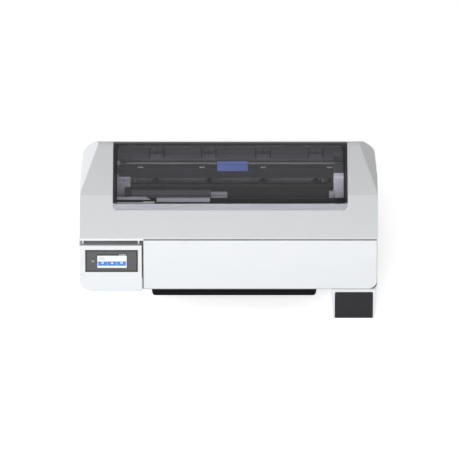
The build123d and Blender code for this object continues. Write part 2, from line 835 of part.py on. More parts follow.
def base_and_tray():
    """The steel base pan, and the black tray under it that the stand bolts to."""
    edge = shell_wall + seam
    with BuildPart() as pan:
        with BuildSketch(Plane.XY.offset(floor)):
            add(plan_outline(edge))
        extrude(amount=base_lip)
        offset(amount=-sheet, openings=pan.faces().sort_by(Axis.Z)[-1])
    with BuildPart() as finished:
        add(pan.part)
        block((-half_width, panel_right + edge), (front, back(panel_recess_back) + sheet),
              (floor - 1, up(base_lip) + 1),
              mode=Mode.SUBTRACT)
        block((front_cover_left - 6, half_width), (front, back(front_cover_flange) + 2),
              (up(sheet), up(base_lip) + 1), mode=Mode.SUBTRACT)
        for x in front_cover_lugs():
            side = x + 4 + rub_gap
            stub_y = back(front_cover_pivot_back)
            stub_z = up(front_cover_pivot_up)
            post_y = back(front_cover_flange) + 8
            rod_x((side, side + 4), stub_y, stub_z, front_cover_stub_radius)
            block((side, side + 4), (stub_y, post_y),
                  (stub_z - front_cover_stub_radius, stub_z + front_cover_stub_radius))
            block((side, side + 4), (post_y - 6, post_y), (floor, stub_z))
            rod_x((side - 1, side + 5), stub_y, stub_z, front_cover_pin_radius, mode=Mode.SUBTRACT)
        waste_x = half_width - waste_length
        for y in (back(waste_front_back) - waste_gap - sheet,
                  back(waste_front_back + waste_width) + waste_gap):
            block((waste_x, half_width - 20), (y, y + sheet), (up(sheet), up(waste_up + 20)))
        block((waste_x, half_width - 20),
              (back(waste_front_back) + 10, back(waste_front_back + waste_width) - 10),
              (up(sheet), up(waste_up) - nip_gap))
        block((half_width - 10, half_width),
              (back(waste_front_back) - waste_gap, back(waste_front_back + waste_width) + waste_gap),
              (up(waste_up) - waste_gap, up(base_lip) + 1), mode=Mode.SUBTRACT)
        block((inlet_x - inlet_width / 2 - 1, inlet_x + inlet_width / 2 + 1), (rear - 10, rear + 1),
              (up(sheet), up(base_lip) + 1), mode=Mode.SUBTRACT)
    save(finished, "base_pan")
    tray_y = (back(tray_front_back), back(tray_front_back) + tray_depth)
    with BuildPart() as tray:
        with BuildSketch(Plane.XZ.offset(-tray_y[1])):
            with BuildLine():
                Polyline(
                    (tray_left, floor),
                    (tray_left + tray_lean, 0),
                    (tray_right - tray_lean, 0),
                    (tray_right, floor),
                    close=True,
                )
            make_face()
        extrude(amount=tray_depth)
        fillet(tray.edges().filter_by(Axis.Y).group_by(Axis.Z)[0], tray_corner_radius)
        fillet(tray.edges().filter_by(Axis.X).group_by(Axis.Z)[0], tray_edge_radius)
        offset(amount=-tray_wall, openings=tray.faces().sort_by(Axis.Z)[-1])
        with Locations((0, 0, tray_wall / 2)):
            with GridLocations(stand_spacing_x, stand_spacing_y, 2, 2):
                Cylinder(stand_hole_radius, tray_wall * 2, mode=Mode.SUBTRACT)
    save(tray, "bottom_tray")


def side_frames():
    """The two upright steel plates that carry the rail, the rollers and the platen."""
    span_y = (back(frame_front_back), back(frame_rear_back))
    feed = (back(feed_roller_back), feed_roller_z)
    with BuildPart() as left_frame:
        block((left_frame_x, left_frame_x + sheet), span_y, (up(sheet), up(frame_top_up)))
        block((left_frame_x, left_frame_x + base_lip), span_y, (up(sheet), up(2 * sheet)))
        rod_x((left_frame_x - 1, left_frame_x + 5), feed[0], feed[1], feed_shaft_radius + shaft_play,
              mode=Mode.SUBTRACT)
        trim_frame_top((left_frame_x - 1, left_frame_x + base_lip))
    save(left_frame, "left_side_frame")
    with BuildPart() as right_frame:
        block((right_frame_x, right_frame_x + sheet), span_y, (up(sheet), up(frame_top_up)))
        block((right_frame_x + sheet - base_lip, right_frame_x), (span_y[0], span_y[1] - 130),
              (up(sheet), up(2 * sheet)))
        trim_frame_top((right_frame_x - base_lip, right_frame_x + sheet + 1))
        block((right_frame_x - base_lip - 1, right_frame_x + sheet + 1),
              (back(waste_front_back) - 4, back(waste_front_back + waste_width) + 4),
              (floor, up(waste_up + waste_height) + 2), mode=Mode.SUBTRACT)
    save(right_frame, "right_side_frame")


def trim_frame_top(x):
    """Cuts a side frame's back top corner away so that it clears the shell."""
    block(x, (back(beam_front_back), rear), (up(beam_top_up - 34), top), mode=Mode.SUBTRACT)
    block(x, (back(rail_front_back), rear), (up(beam_top_up - 4), top), mode=Mode.SUBTRACT)


def rail_and_drive():
    """The carriage rail, its end brackets, the belt with its pulleys, the motor and the encoder strip."""
    rail_y = (back(rail_front_back), back(rail_front_back + rail_depth))
    rail_z = (up(rail_bottom_up), up(rail_bottom_up + rail_height))
    rail_x = (left_frame_x + sheet, right_frame_x)
    middle_y = (rail_y[0] + rail_y[1]) / 2
    motor_z = rail_z[0] - motor_length
    with BuildPart() as rail:
        block(rail_x, rail_y, rail_z)
        block((rail_x[0] - 1, rail_x[1] + 1), (rail_y[0] + rail_wall, rail_y[1] - rail_wall),
              (rail_z[0] + rail_wall, rail_z[1] - rail_wall), mode=Mode.SUBTRACT)
        for x in (drive_pulley_x, idler_pulley_x):
            rod_z(x, middle_y, (rail_z[0] - 1, rail_z[1] + 1), pulley_shaft_radius + shaft_play,
                  mode=Mode.SUBTRACT)
        handle_pivot = (rail_y[0] - handle_gap - handle_thickness / 2,
                        up(handle_bottom_up) + handle_pin_radius)
        for side in (-1, 1):
            near = handle_x + side * (handle_width / 2 + rub_gap)
            far = near + side * 4
            block((min(near, far), max(near, far)), (handle_pivot[0] - 1.7, rail_y[0]),
                  (handle_pivot[1] - 2.5, handle_pivot[1] + 2.5))
            rod_x((min(near, far) - 1, max(near, far) + 1), handle_pivot[0], handle_pivot[1],
                  handle_pin_radius / 2 + shaft_play, mode=Mode.SUBTRACT)
    save(rail, "carriage_rail")
    for x, name in ((drive_pulley_x, "drive_pulley"), (idler_pulley_x, "idler_pulley")):
        low = rail_z[1] + pulley_lift
        with BuildPart() as pulley:
            rod_z(x, middle_y, (low, low + pulley_flange), pulley_radius + 2)
            rod_z(x, middle_y, (low, low + belt_width + 2 * pulley_flange + 1), pulley_radius)
            rod_z(x, middle_y,
                  (low + belt_width + pulley_flange + 1, low + belt_width + 2 * pulley_flange + 1),
                  pulley_radius + 2)
            rod_z(x, middle_y, (motor_z + motor_length + 1, low), pulley_shaft_radius)
        save(pulley, name)
    belt_z = rail_z[1] + pulley_lift + pulley_flange + 0.5
    belt_x = (drive_pulley_x + idler_pulley_x) / 2
    inner = pulley_radius + belt_play
    with BuildPart() as belt:
        with BuildSketch(Plane.XY.offset(belt_z)):
            with Locations((belt_x, middle_y)):
                SlotCenterToCenter(drive_pulley_x - idler_pulley_x, 2 * (inner + belt_thickness))
                SlotCenterToCenter(drive_pulley_x - idler_pulley_x, 2 * inner, mode=Mode.SUBTRACT)
        extrude(amount=belt_width)
    save(belt, "carriage_belt")
    with BuildPart() as motor:
        rod_z(drive_pulley_x, middle_y, (motor_z, rail_z[0]), motor_radius)
        rod_z(drive_pulley_x, middle_y, (motor_z + motor_length - 4, rail_z[0] + 1),
              pulley_shaft_radius + 1.5,
              mode=Mode.SUBTRACT)
        chamfer(motor.edges().group_by(Axis.Z)[0], 1)
    save(motor, "carriage_motor")
    strip_y = rail_y[1] - rail_wall
    strip_x = (idler_pulley_x + 30, drive_pulley_x - 30)
    with BuildPart() as strip:
        block(strip_x, (strip_y, strip_y + encoder_thickness), (rail_z[1], rail_z[1] + encoder_height))
    save(strip, "encoder_strip")


def carriage():
    """The print carriage that rides along the rail, and the print head under it."""
    rail_front = back(rail_front_back)
    x = (carriage_park_x - carriage_width / 2, carriage_park_x + carriage_width / 2)
    y = (back(carriage_front_back), rail_front - carriage_rail_gap)
    z = (up(carriage_bottom_up), up(carriage_bottom_up + carriage_height))
    rail_top = up(rail_bottom_up + rail_height)
    belt_top = rail_top + pulley_lift + 2 * pulley_flange + belt_width + 1
    half_arm = carriage_arm_width / 2
    middle_y = rail_front + rail_depth / 2
    with BuildPart() as shell:
        block(x, y, z)
        fillet(shell.edges().filter_by(Axis.X).group_by(Axis.Y)[0], 8)
        fillet(shell.edges().filter_by(Axis.Z), 4)
    with BuildPart() as body:
        add(shell.part)
        block((x[0] + carriage_wall, x[1] - carriage_wall), (y[0] + carriage_wall, y[1] - carriage_wall),
              (z[0] + 20, z[1] - carriage_wall), mode=Mode.SUBTRACT)
        block((carriage_park_x - half_arm, carriage_park_x + half_arm),
              (y[1] - 4, middle_y - pulley_radius + 3),
              (belt_top + 1, belt_top + 5))
        block((carriage_park_x - 8, carriage_park_x + 8),
              (middle_y - pulley_radius + belt_play, middle_y - pulley_radius + 3),
              (belt_top - 8, belt_top + 2))
        block((x[0] + 10, x[1] - 10), (y[1] - 1, rail_front - nip_gap),
              (up(rail_bottom_up + carriage_shoe_lift), up(rail_bottom_up + 22)))
    save(body, "carriage")
    with BuildPart() as head:
        block((carriage_park_x - print_head_width / 2, carriage_park_x + print_head_width / 2),
              (y[0] + 14, y[0] + 14 + print_head_depth), (z[0] - print_head_thickness, z[0]))
        chamfer(head.edges().filter_by(Axis.Z), 2)
    save(head, "print_head")


def platen_and_feed():
    """The platen that the paper lies on, the feed roller behind it with its gear, and the feed motor."""
    x = (platen_left, platen_right)
    y = (back(platen_front_back), back(platen_front_back + platen_depth))
    platen_top = up(platen_up)
    with BuildPart() as platen:
        block(x, y, (platen_top - platen_skirt, platen_top))
        block((x[0] - 1, x[1] + 1), (y[0] + platen_thickness, y[1] - platen_thickness),
              (platen_top - platen_skirt - 1, platen_top - platen_thickness), mode=Mode.SUBTRACT)
        with Locations(((x[0] + x[1]) / 2, (y[0] + y[1]) / 2, platen_top)):
            with GridLocations(vacuum_pitch, platen_depth / 3, vacuum_columns, 3):
                Cylinder(vacuum_radius, 3 * platen_thickness, mode=Mode.SUBTRACT)
    save(platen, "platen")
    roller_x = (-feed_roller_length / 2, feed_roller_length / 2)
    axis = (back(feed_roller_back), feed_roller_z)
    gear_x = left_frame_x - 3 - gear_width
    with BuildPart() as supports:
        for end in (x[0] + 10, x[1] - 10 - 4 * sheet):
            block((end, end + 4 * sheet), (y[0] + platen_thickness, y[1] - platen_thickness),
                  (up(sheet), platen_top - platen_thickness))
        block((roller_x[1] + 4, roller_x[1] + 12), (axis[0] - 12, axis[0] + 12), (up(sheet), axis[1] + 10))
        rod_x((roller_x[1], roller_x[1] + 20), axis[0], axis[1], feed_shaft_radius + shaft_play,
              mode=Mode.SUBTRACT)
    save(supports, "platen_supports")
    with BuildPart() as roller:
        rod_x(roller_x, axis[0], axis[1], feed_roller_radius)
        rod_x((gear_x, roller_x[1] + 16), axis[0], axis[1], feed_shaft_radius)
    save(roller, "feed_roller")
    spread = gear_module * (feed_gear_teeth + pinion_teeth) / 2 + 0.15
    with BuildPart() as gear:
        add(gear_outline(feed_gear_teeth, gear_x, axis, 0))
        extrude(amount=gear_width, dir=(1, 0, 0))
        rod_x((gear_x - 1, gear_x + gear_width + 1), axis[0], axis[1], feed_shaft_radius,
              mode=Mode.SUBTRACT)
    save(gear, "feed_gear")
    pinion_axis = (axis[0], axis[1] + spread)
    with BuildPart() as pinion:
        add(gear_outline(pinion_teeth, gear_x, pinion_axis, 180 + 180 / pinion_teeth))
        extrude(amount=gear_width, dir=(1, 0, 0))
        rod_x((gear_x - 6, gear_x + gear_width), pinion_axis[0], pinion_axis[1], pulley_shaft_radius)
    save(pinion, "feed_pinion")
    with BuildPart() as motor:
        rod_x((gear_x - 4 - motor_length, gear_x - 4), pinion_axis[0], pinion_axis[1], motor_radius + 4)
        rod_x((gear_x - 10, gear_x), pinion_axis[0], pinion_axis[1], pulley_shaft_radius + shaft_play,
              mode=Mode.SUBTRACT)
        block((gear_x - 4 - sheet, left_frame_x),
              (pinion_axis[0] + motor_radius + 1, pinion_axis[0] + motor_radius + 5),
              (pinion_axis[1] - 8, pinion_axis[1] + 8))
    save(motor, "feed_motor")


def gear_outline(teeth, x, axis, turn):
    """The face of a spur gear of straight-sided teeth across X, turned to mesh with its partner."""
    pitch_radius = gear_module * teeth / 2
    root = pitch_radius - 1.25 * gear_module
    tip = pitch_radius + 0.85 * gear_module
    tooth = 360 / teeth
    corners = []
    for index in range(teeth):
        middle = 90 + turn + index * tooth
        for part, radius in ((-0.30, root), (-0.11, tip), (0.11, tip), (0.30, root)):
            corner = Vector(radius, 0, 0).rotate(Axis.Z, middle + part * tooth)
            corners.append((corner.X + axis[0], corner.Y + axis[1]))
    with BuildSketch(Plane.YZ.offset(x)) as outline:
        with BuildLine():
            Polyline(*corners, close=True)
        make_face()
    return outline.sketch


def ridge_beam():
    """The folded steel beam behind the rail that ties the side frames and carries the hinges."""
    with BuildPart() as beam:
        block((left_frame_x + sheet, right_frame_x),
              (back(beam_front_back), back(beam_front_back + beam_depth)),
              (up(beam_bottom_up), up(beam_top_up)))
        block((left_frame_x, right_frame_x + sheet),
              (back(beam_front_back) + sheet, back(beam_front_back + beam_depth) - sheet),
              (up(beam_bottom_up) - 1, up(beam_top_up) - sheet), mode=Mode.SUBTRACT)
        tongue = (cover_right + 2 * hinge_plate_gap, right_frame_x + sheet)
        block(tongue, (back(frame_rear_back), rear), (up(beam_bottom_up) - 1, top), mode=Mode.SUBTRACT)
        block(tongue, (back(beam_front_back) - 1, rear), (up(beam_bottom_up) + 8, top), mode=Mode.SUBTRACT)
    save(beam, "ridge_beam")


def pinch_middles():
    """The X of the middle of each pinch roller."""
    return [pinch_first_x + index * pinch_pitch for index in range(pinch_count)]


def pinch_unit():
    """The four slotted plates behind the rail, their arms on one shaft, and the pinch rollers."""
    plate_z = (up(pinch_plate_up), up(pinch_plate_up + pinch_plate_thickness))
    plate_y = (back(pinch_plate_back), back(pinch_plate_back + pinch_plate_length))
    pivot = (back(pinch_pivot_back), up(pinch_pivot_up))
    nip = (back(feed_roller_back), feed_roller_z + feed_roller_radius + nip_gap + pinch_roller_radius)
    half = pinch_plate_width / 2
    waist = half / 3
    with BuildPart() as plates:
        for x in pinch_middles():
            block((x - half, x + half), plate_y, plate_z)
            for y in ((plate_y[0] + 12, plate_y[0] + 28), (plate_y[1] - 28, plate_y[1] - 12)):
                for side in (-1, 1):
                    middle = x + side * (half - waist / 2)
                    block((middle - waist / 2 - 1, middle + waist / 2 + 1), y,
                          (plate_z[0] - 1, plate_z[1] + 1),
                          mode=Mode.SUBTRACT)
            for side in (-1, 1):
                inner = x + side * (half - 3)
                outer = inner + side * pinch_plate_thickness
                ends = (min(inner, outer), max(inner, outer))
                block(ends, (pivot[0] - 6, pivot[0] + 6), (pivot[1] - 6, plate_z[0]))
                rod_x((ends[0] - 1, ends[1] + 1), pivot[0], pivot[1], pinch_pin_radius + shaft_play,
                      mode=Mode.SUBTRACT)
    save(plates, "pinch_brackets")
    middles = pinch_middles()
    with BuildPart() as arms:
        for x in middles:
            block((x - 7, x + 7), (pivot[0] - 7, pivot[0] + 7), (nip[1] - 4, pivot[1]))
            rod_x((x - 7, x + 7), pivot[0], pivot[1], 7)
            block((x - 7, x + 7), (nip[0], pivot[0]), (nip[1] - 4, nip[1] + 6))
            rod_x((x - 7, x + 7), nip[0], nip[1] + 1, 5)
            rod_x((x - 8, x + 8), nip[0], nip[1], 2 + shaft_play, mode=Mode.SUBTRACT)
        rod_x((middles[0] - half - 6, middles[-1] + half + 6), pivot[0], pivot[1], pinch_pin_radius)
    save(arms, "pinch_arms")
    with BuildPart() as rollers:
        for x in middles:
            rod_x((x - pinch_roller_length / 2, x + pinch_roller_length / 2), nip[0], nip[1], 2)
            for side in (-1, 1):
                near = x + side * (7 + rub_gap)
                far = x + side * pinch_roller_length / 2
                rod_x((min(near, far), max(near, far)), nip[0], nip[1], pinch_roller_radius)
    save(rollers, "pinch_rollers")


def release_handle():
    """The blue handle in front of the rail that lifts the pinch rollers."""
    y = back(rail_front_back) - handle_gap
    x = (handle_x - handle_width / 2, handle_x + handle_width / 2)
    pivot = (y - handle_thickness / 2, up(handle_bottom_up) + handle_pin_radius)
    with BuildPart() as handle:
        block(x, (y - handle_thickness, y), (up(handle_bottom_up), up(handle_top_up)))
        fillet(handle.edges().filter_by(Axis.Y).group_by(Axis.Z)[-1], 2)
        chamfer(handle.edges().filter_by(Axis.X).group_by(Axis.Z)[-1], 0.8)
        rod_x((x[0] - 4, x[1] + 4), pivot[0], pivot[1], handle_pin_radius / 2)
    save(handle, "release_handle")


def cutter():
    """The rail along the platen's front edge and the small paper cutter that runs on it."""
    y = (back(cutter_rail_back), back(cutter_rail_back + cutter_rail_depth))
    z = (up(cutter_rail_up), up(cutter_rail_up + cutter_rail_height))
    ends = (platen_left, platen_right)
    with BuildPart() as rail:
        block(ends, y, z)
        for end in (ends[0], ends[1] - 6):
            block((end, end + 6), (y[0], back(platen_front_back) + platen_thickness),
                  (up(platen_up), z[0]))
        groove = (z[0] + z[1]) / 2
        block((ends[0] - 1, ends[1] + 1), (y[0] - 1, y[0] + 2), (groove - 1.5, groove + 1.5),
              mode=Mode.SUBTRACT)
    save(rail, "cutter_rail")
    x = (cutter_x - cutter_width / 2, cutter_x + cutter_width / 2)
    with BuildPart() as body:
        block(x, (y[0] - 10, y[1] + 10), (z[0] - 3, z[0] + cutter_height))
        fillet(body.edges().filter_by(Axis.Z), 3)
        chamfer(body.edges().group_by(Axis.Z)[-1], 2)
        block((x[0] - 1, x[1] + 1), (y[0] - nip_gap, y[1] + nip_gap), (z[0] - 4, z[1] + nip_gap),
              mode=Mode.SUBTRACT)
    save(body, "paper_cutter")


def capping_station():
    """The block under the parked print head, with the rubber seal that closes its nozzles."""
    y = (back(carriage_front_back) + 6, back(carriage_front_back) + 6 + cap_station_depth)
    head_bottom = up(carriage_bottom_up) - print_head_thickness
    block_top = head_bottom - cap_lip_gap - cap_seal_height
    x = (carriage_park_x - cap_station_width / 2, carriage_park_x + cap_station_width / 2)
    with BuildPart() as station:
        block(x, y, (up(cap_station_bottom_up), block_top))
        fillet(station.edges().filter_by(Axis.Z), 3)
        block((x[0] + 20, x[0] + 28), (y[0] + 8, y[1] - 8), (up(sheet), up(cap_station_bottom_up)))
        block((x[1] - 28, x[1] - 20), (y[0] + 8, y[1] - 8), (up(sheet), up(cap_station_bottom_up)))
    save(station, "capping_station")
    half = print_head_width / 2
    seal_y = (y[0] + 8, y[0] + 8 + print_head_depth)
    with BuildPart() as seal:
        block((carriage_park_x - half, carriage_park_x + half), seal_y,
              (block_top, block_top + cap_seal_height))
        block((carriage_park_x - half + 3, carriage_park_x + half - 3), (seal_y[0] + 3, seal_y[1] - 3),
              (block_top + 1, block_top + cap_seal_height + 1), mode=Mode.SUBTRACT)
    save(seal, "cap_seal")


def paper_roll_spindle():
    """The spindle for the paper roll, its two flanges, and the open cradles that it turns in."""
    axis = (back(spindle_back), up(spindle_up))
    with BuildPart() as spindle:
        rod_x((-spindle_reach, spindle_reach), axis[0], axis[1], spindle_journal_radius)
        rod_x((-paper_width / 2 - 8, paper_width / 2 + 8), axis[0], axis[1], spindle_radius)
        for side in (-1, 1):
            near = side * paper_width / 2
            far = near + side * flange_thickness
            rod_x((min(near, far), max(near, far)), axis[0], axis[1], flange_radius)
    save(spindle, "roll_spindle")
    with BuildPart() as holders:
        for side in (-1, 1):
            middle = side * (spindle_reach - roll_holder_thickness / 2 - 4)
            x = (middle - roll_holder_thickness / 2, middle + roll_holder_thickness / 2)
            block(x, (axis[0] - 22, axis[0] + 22), (up(sheet), axis[1] + 14))
            rod_x((x[0] - 1, x[1] + 1), axis[0], axis[1], spindle_journal_radius + shaft_play,
                  mode=Mode.SUBTRACT)
            block((x[0] - 1, x[1] + 1),
                  (axis[0] - spindle_journal_radius - shaft_play,
                   axis[0] + spindle_journal_radius + shaft_play),
                  (axis[1], axis[1] + 20), mode=Mode.SUBTRACT)
    save(holders, "roll_holders")


def exit_guide():
    """The sloping sheet that leads the printed paper down from the platen to the front."""
    thick = sheet
    start = (back(exit_guide_front_back), up(exit_guide_front_up))
    end = (back(platen_front_back) - 2, up(exit_guide_rear_up))
    with BuildPart() as guide:
        with BuildSketch(Plane.YZ.offset(platen_left + 4)):
            with BuildLine():
                Polyline(
                    start,
                    end,
                    (end[0], end[1] - thick),
                    (start[0], start[1] - thick),
                    close=True,
                )
            make_face()
        extrude(amount=platen_right - platen_left - 8)
        for x in (platen_left + 30, platen_right - 36):
            block((x, x + 6), (back(panel_recess_back) + 10, back(panel_recess_back) + 26),
                  (up(sheet), up(exit_guide_front_up + 12)))
        block((front_cover_left - 200, front_cover_left + 2), (front, back(panel_recess_back) + sheet + 1),
              (floor, top), mode=Mode.SUBTRACT)
    save(guide, "exit_guide")


def electronics():
    """The control board, the power supply, the power inlet and the data ports."""
    with BuildPart() as board:
        block((board_x, board_x + board_thickness),
              (back(board_front_back), back(board_front_back) + board_depth),
              (up(board_bottom_up), up(board_bottom_up + board_height)))
        for y in (back(board_front_back) + 30, back(board_front_back) + board_depth - 40):
            block((board_x + board_thickness, board_x + 12), (y, y + 24),
                  (up(board_bottom_up + 30), up(board_bottom_up + 54)))
            block((board_x - 6, board_x), (y, y + 6), (up(sheet), up(board_bottom_up + 8)))
    save(board, "control_board")
    with BuildPart() as supply:
        block((power_x - power_width / 2, power_x + power_width / 2),
              (back(power_front_back), back(power_front_back) + power_depth),
              (up(sheet), up(sheet) + power_height))
        chamfer(supply.edges().group_by(Axis.Z)[-1], 2)
    save(supply, "power_supply")
    with BuildPart() as inlet:
        block((inlet_x - inlet_width / 2 + seam, inlet_x + inlet_width / 2 - seam),
              (rear - inlet_depth, rear),
              (up(inlet_up - inlet_height / 2) + seam, up(inlet_up + inlet_height / 2) - seam))
        block((inlet_x - inlet_width / 2 + 5, inlet_x + inlet_width / 2 - 5), (rear - 14, rear + 1),
              (up(inlet_up - inlet_height / 2) + 8, up(inlet_up + inlet_height / 2) - 8),
              mode=Mode.SUBTRACT)
        for lift in (-9, 0, 9):
            block((inlet_x - 3, inlet_x + 3), (rear - 15, rear - 3),
                  (up(inlet_up) + lift - 1, up(inlet_up) + lift + 1))
        block((inlet_x - 10, inlet_x + 10), (rear - inlet_depth, rear - 16),
              (up(sheet), up(inlet_up - inlet_height / 2) + seam))
    save(inlet, "power_inlet")
    with BuildPart() as ports:
        for port in range(port_count):
            middle = up(port_first_up + port * port_pitch)
            block((port_x - port_width / 2 + seam, port_x + port_width / 2 - seam),
                  (rear - port_depth, rear - 0.5),
                  (middle - port_height / 2 + seam, middle + port_height / 2 - seam))
            block((port_x - port_width / 2 + 3, port_x + port_width / 2 - 3),
                  (rear - port_depth + 4, rear + 1),
                  (middle - port_height / 2 + 3, middle + port_height / 2 - 3), mode=Mode.SUBTRACT)
        block((port_x - 12, port_x + 12), (rear - port_depth - sheet, rear - port_depth),
              (up(inlet_up + inlet_height / 2), up(port_first_up + port_count * port_pitch)))
    save(ports, "data_ports")


def ink_tank_unit():
    """The white box under the right end, its black front door, and the four ink tanks with their caps."""
    y = (front, front + tank_box_depth)
    bottom = floor - tank_box_drop
    with BuildPart() as form:
        with BuildSketch(Plane.XZ.offset(-y[1])):
            with BuildLine():
                Polyline(
                    (tank_box_left, floor),
                    (tank_box_left + tank_box_taper, bottom),
                    (tank_box_right - tank_box_taper, bottom),
                    (tank_box_right, floor),
                    close=True,
                )
            make_face()
        extrude(amount=tank_box_depth)
        fillet(form.edges().filter_by(Axis.Y).group_by(Axis.Z)[0], 3)
    inside = (tank_door_left - tank_door_gap, tank_door_right + tank_door_gap)
    lift = floor - tank_door_top
    with BuildPart() as housing:
        add(form.part)
        block(inside, (y[0] - 1, y[1] - tank_box_wall), (bottom + tank_box_wall, lift), mode=Mode.SUBTRACT)
        block(inside, (y[0] - 1, y[0] + tank_door_thickness + 1), (bottom - 1, lift), mode=Mode.SUBTRACT)
        for x in (tank_door_left, tank_door_right - ink_knuckle_length):
            ends = (x - tank_door_gap, x + ink_knuckle_length + tank_door_gap)
            rod_x(ends, ink_pivot_y, ink_pivot_z, tank_door_pin_radius + 2 + tank_door_gap,
                  mode=Mode.SUBTRACT)
    save(housing, "ink_tank_housing")
    with BuildPart() as door:
        block((tank_door_left, tank_door_right), (front, front + tank_door_thickness),
              (bottom, lift - tank_door_gap))
        fillet(door.faces().sort_by(Axis.Y)[0].edges(), 1)
        for x in (tank_door_left, tank_door_right - ink_knuckle_length):
            rod_x((x, x + ink_knuckle_length), ink_pivot_y, ink_pivot_z, tank_door_pin_radius + 2)
            rod_x((x - 1, x + ink_knuckle_length + 1), ink_pivot_y, ink_pivot_z,
                  tank_door_pin_radius + shaft_play, mode=Mode.SUBTRACT)
    save(door, "ink_tank_cover")
    pitch = (inside[1] - inside[0]) / tank_count
    tank_y = (back(tank_front_back), back(tank_front_back) + tank_length)
    tank_z = (bottom + tank_box_wall, bottom + tank_box_wall + tank_height)
    for index, name in enumerate(tank_names):
        middle = inside[0] + pitch * (index + 0.5)
        half = pitch / 2 - tank_gap / 2
        port_z = tank_z[1] - 16
        with BuildPart() as tank:
            block((middle - half, middle + half), tank_y, tank_z)
            fillet(tank.edges().filter_by(Axis.Z), 3)
            rod_y(middle, (tank_y[0] - 6, tank_y[0] + 4), port_z, tank_port_radius + 2)
            rod_y(middle, (tank_y[0] - 7, tank_y[0] + 12), port_z, tank_port_radius, mode=Mode.SUBTRACT)
        save(tank, "ink_tank_" + name)
        with BuildPart() as cap:
            rod_y(middle, (tank_y[0] - 6, tank_y[0] + tank_cap_length - 6), port_z,
                  tank_port_radius - shaft_play)
            rod_y(middle, (tank_y[0] - 9, tank_y[0] - 6), port_z, tank_port_radius + 3)
        save(cap, "tank_cap_" + name)


def waste_ink_box():
    """The box that holds waste ink, pulled out through the right side, with a grip in its end."""
    y = (back(waste_front_back), back(waste_front_back + waste_width))
    z = (up(waste_up), up(waste_up + waste_height))
    with BuildPart() as box:
        block((half_width - waste_length, half_width), y, z)
        fillet(box.edges().filter_by(Axis.X), 2)
        block((half_width - 10, half_width + 1), (y[0] + 24, y[1] - 24), (z[0] + 16, z[1] - 16),
              mode=Mode.SUBTRACT)
    save(box, "waste_ink_box")


def main():
    """Builds every piece and writes it."""
    os.makedirs("parts", exist_ok=True)
    outer = body_form(0)
    inner = body_form(shell_wall)
    under_sheet = body_form(cover_sheet)
    under_rim = body_form(cover_sheet + cover_rim_thickness)
    recess_under = body_form(cover_sheet + rub_gap)
    ledge_under = body_form(cover_sheet + rub_gap + shell_wall)
    upper_cover(outer, inner, recess_under, ledge_under)
    side_covers(outer, inner)
    rear_cover(outer, inner)
    roll_cover(outer, inner)
    printer_cover(outer, under_sheet)
    cover_rim(under_sheet, under_rim)
    steel_brackets()
    hinge_pins()
    front_cover()
    control_panel()
    panel_recess()
    base_and_tray()
    side_frames()
    rail_and_drive()
    carriage()
    platen_and_feed()
    ridge_beam()
    pinch_unit()
    release_handle()
    cutter()
    capping_station()
    paper_roll_spindle()
    exit_guide()
    electronics()
    ink_tank_unit()
    waste_ink_box()


main()
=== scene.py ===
"""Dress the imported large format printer: finishes, small fittings, light and camera."""

import json
import logging
import math
from dataclasses import dataclass, field
from enum import Enum
from functools import cached_property, partialmethod

import bpy
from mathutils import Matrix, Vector


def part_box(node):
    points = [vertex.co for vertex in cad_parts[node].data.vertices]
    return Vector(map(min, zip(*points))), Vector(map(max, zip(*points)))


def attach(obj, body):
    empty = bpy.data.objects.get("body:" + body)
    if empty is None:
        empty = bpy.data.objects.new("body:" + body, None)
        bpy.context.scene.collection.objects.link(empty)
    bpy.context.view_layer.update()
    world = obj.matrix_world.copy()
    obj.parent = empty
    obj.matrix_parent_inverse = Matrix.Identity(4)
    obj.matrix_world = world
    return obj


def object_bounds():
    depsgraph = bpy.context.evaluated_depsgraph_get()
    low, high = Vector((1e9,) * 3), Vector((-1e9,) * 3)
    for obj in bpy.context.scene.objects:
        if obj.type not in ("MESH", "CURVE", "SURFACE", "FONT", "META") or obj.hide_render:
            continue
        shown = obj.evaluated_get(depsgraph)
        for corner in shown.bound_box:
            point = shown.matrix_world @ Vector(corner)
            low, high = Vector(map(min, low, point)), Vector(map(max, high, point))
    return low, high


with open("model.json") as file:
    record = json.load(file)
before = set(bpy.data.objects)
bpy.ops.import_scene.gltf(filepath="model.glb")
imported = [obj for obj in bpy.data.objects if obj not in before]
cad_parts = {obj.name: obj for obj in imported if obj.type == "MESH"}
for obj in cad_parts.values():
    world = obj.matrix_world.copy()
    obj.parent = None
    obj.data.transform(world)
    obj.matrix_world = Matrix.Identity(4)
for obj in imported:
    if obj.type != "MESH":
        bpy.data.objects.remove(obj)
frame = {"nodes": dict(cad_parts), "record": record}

LOG = logging.getLogger("printer")
CAD_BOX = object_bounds()

Socket = bpy.types.NodeSocket
Tree = bpy.types.NodeTree
Material = bpy.types.Material
Piece = bpy.types.Object
Colour = tuple[float, float, float]
Span = tuple[float, float]
Way = tuple[float, float, float]
Given = Socket | float | Vector | tuple[float, ...]
PANEL_LEAN = math.radians(5.04)
WHITE = (1.0, 1.0, 1.0, 1.0)
UP: Way = (0.0, 0.0, 1.0)
TO_FRONT: Way = (0.0, -1.0, 0.0)
TO_BACK: Way = (0.0, 1.0, 0.0)


class Axis(Enum):
    """The direction that a brushed or drawn surface runs in."""

    X = (0.04, 1.0, 1.0)
    Z = (1.0, 1.0, 0.04)


class Icon(Enum):
    """The plain picture on each key of the touch screen."""

    SHEET = "sheet"
    DISC = "disc"
    ROLL = "roll"


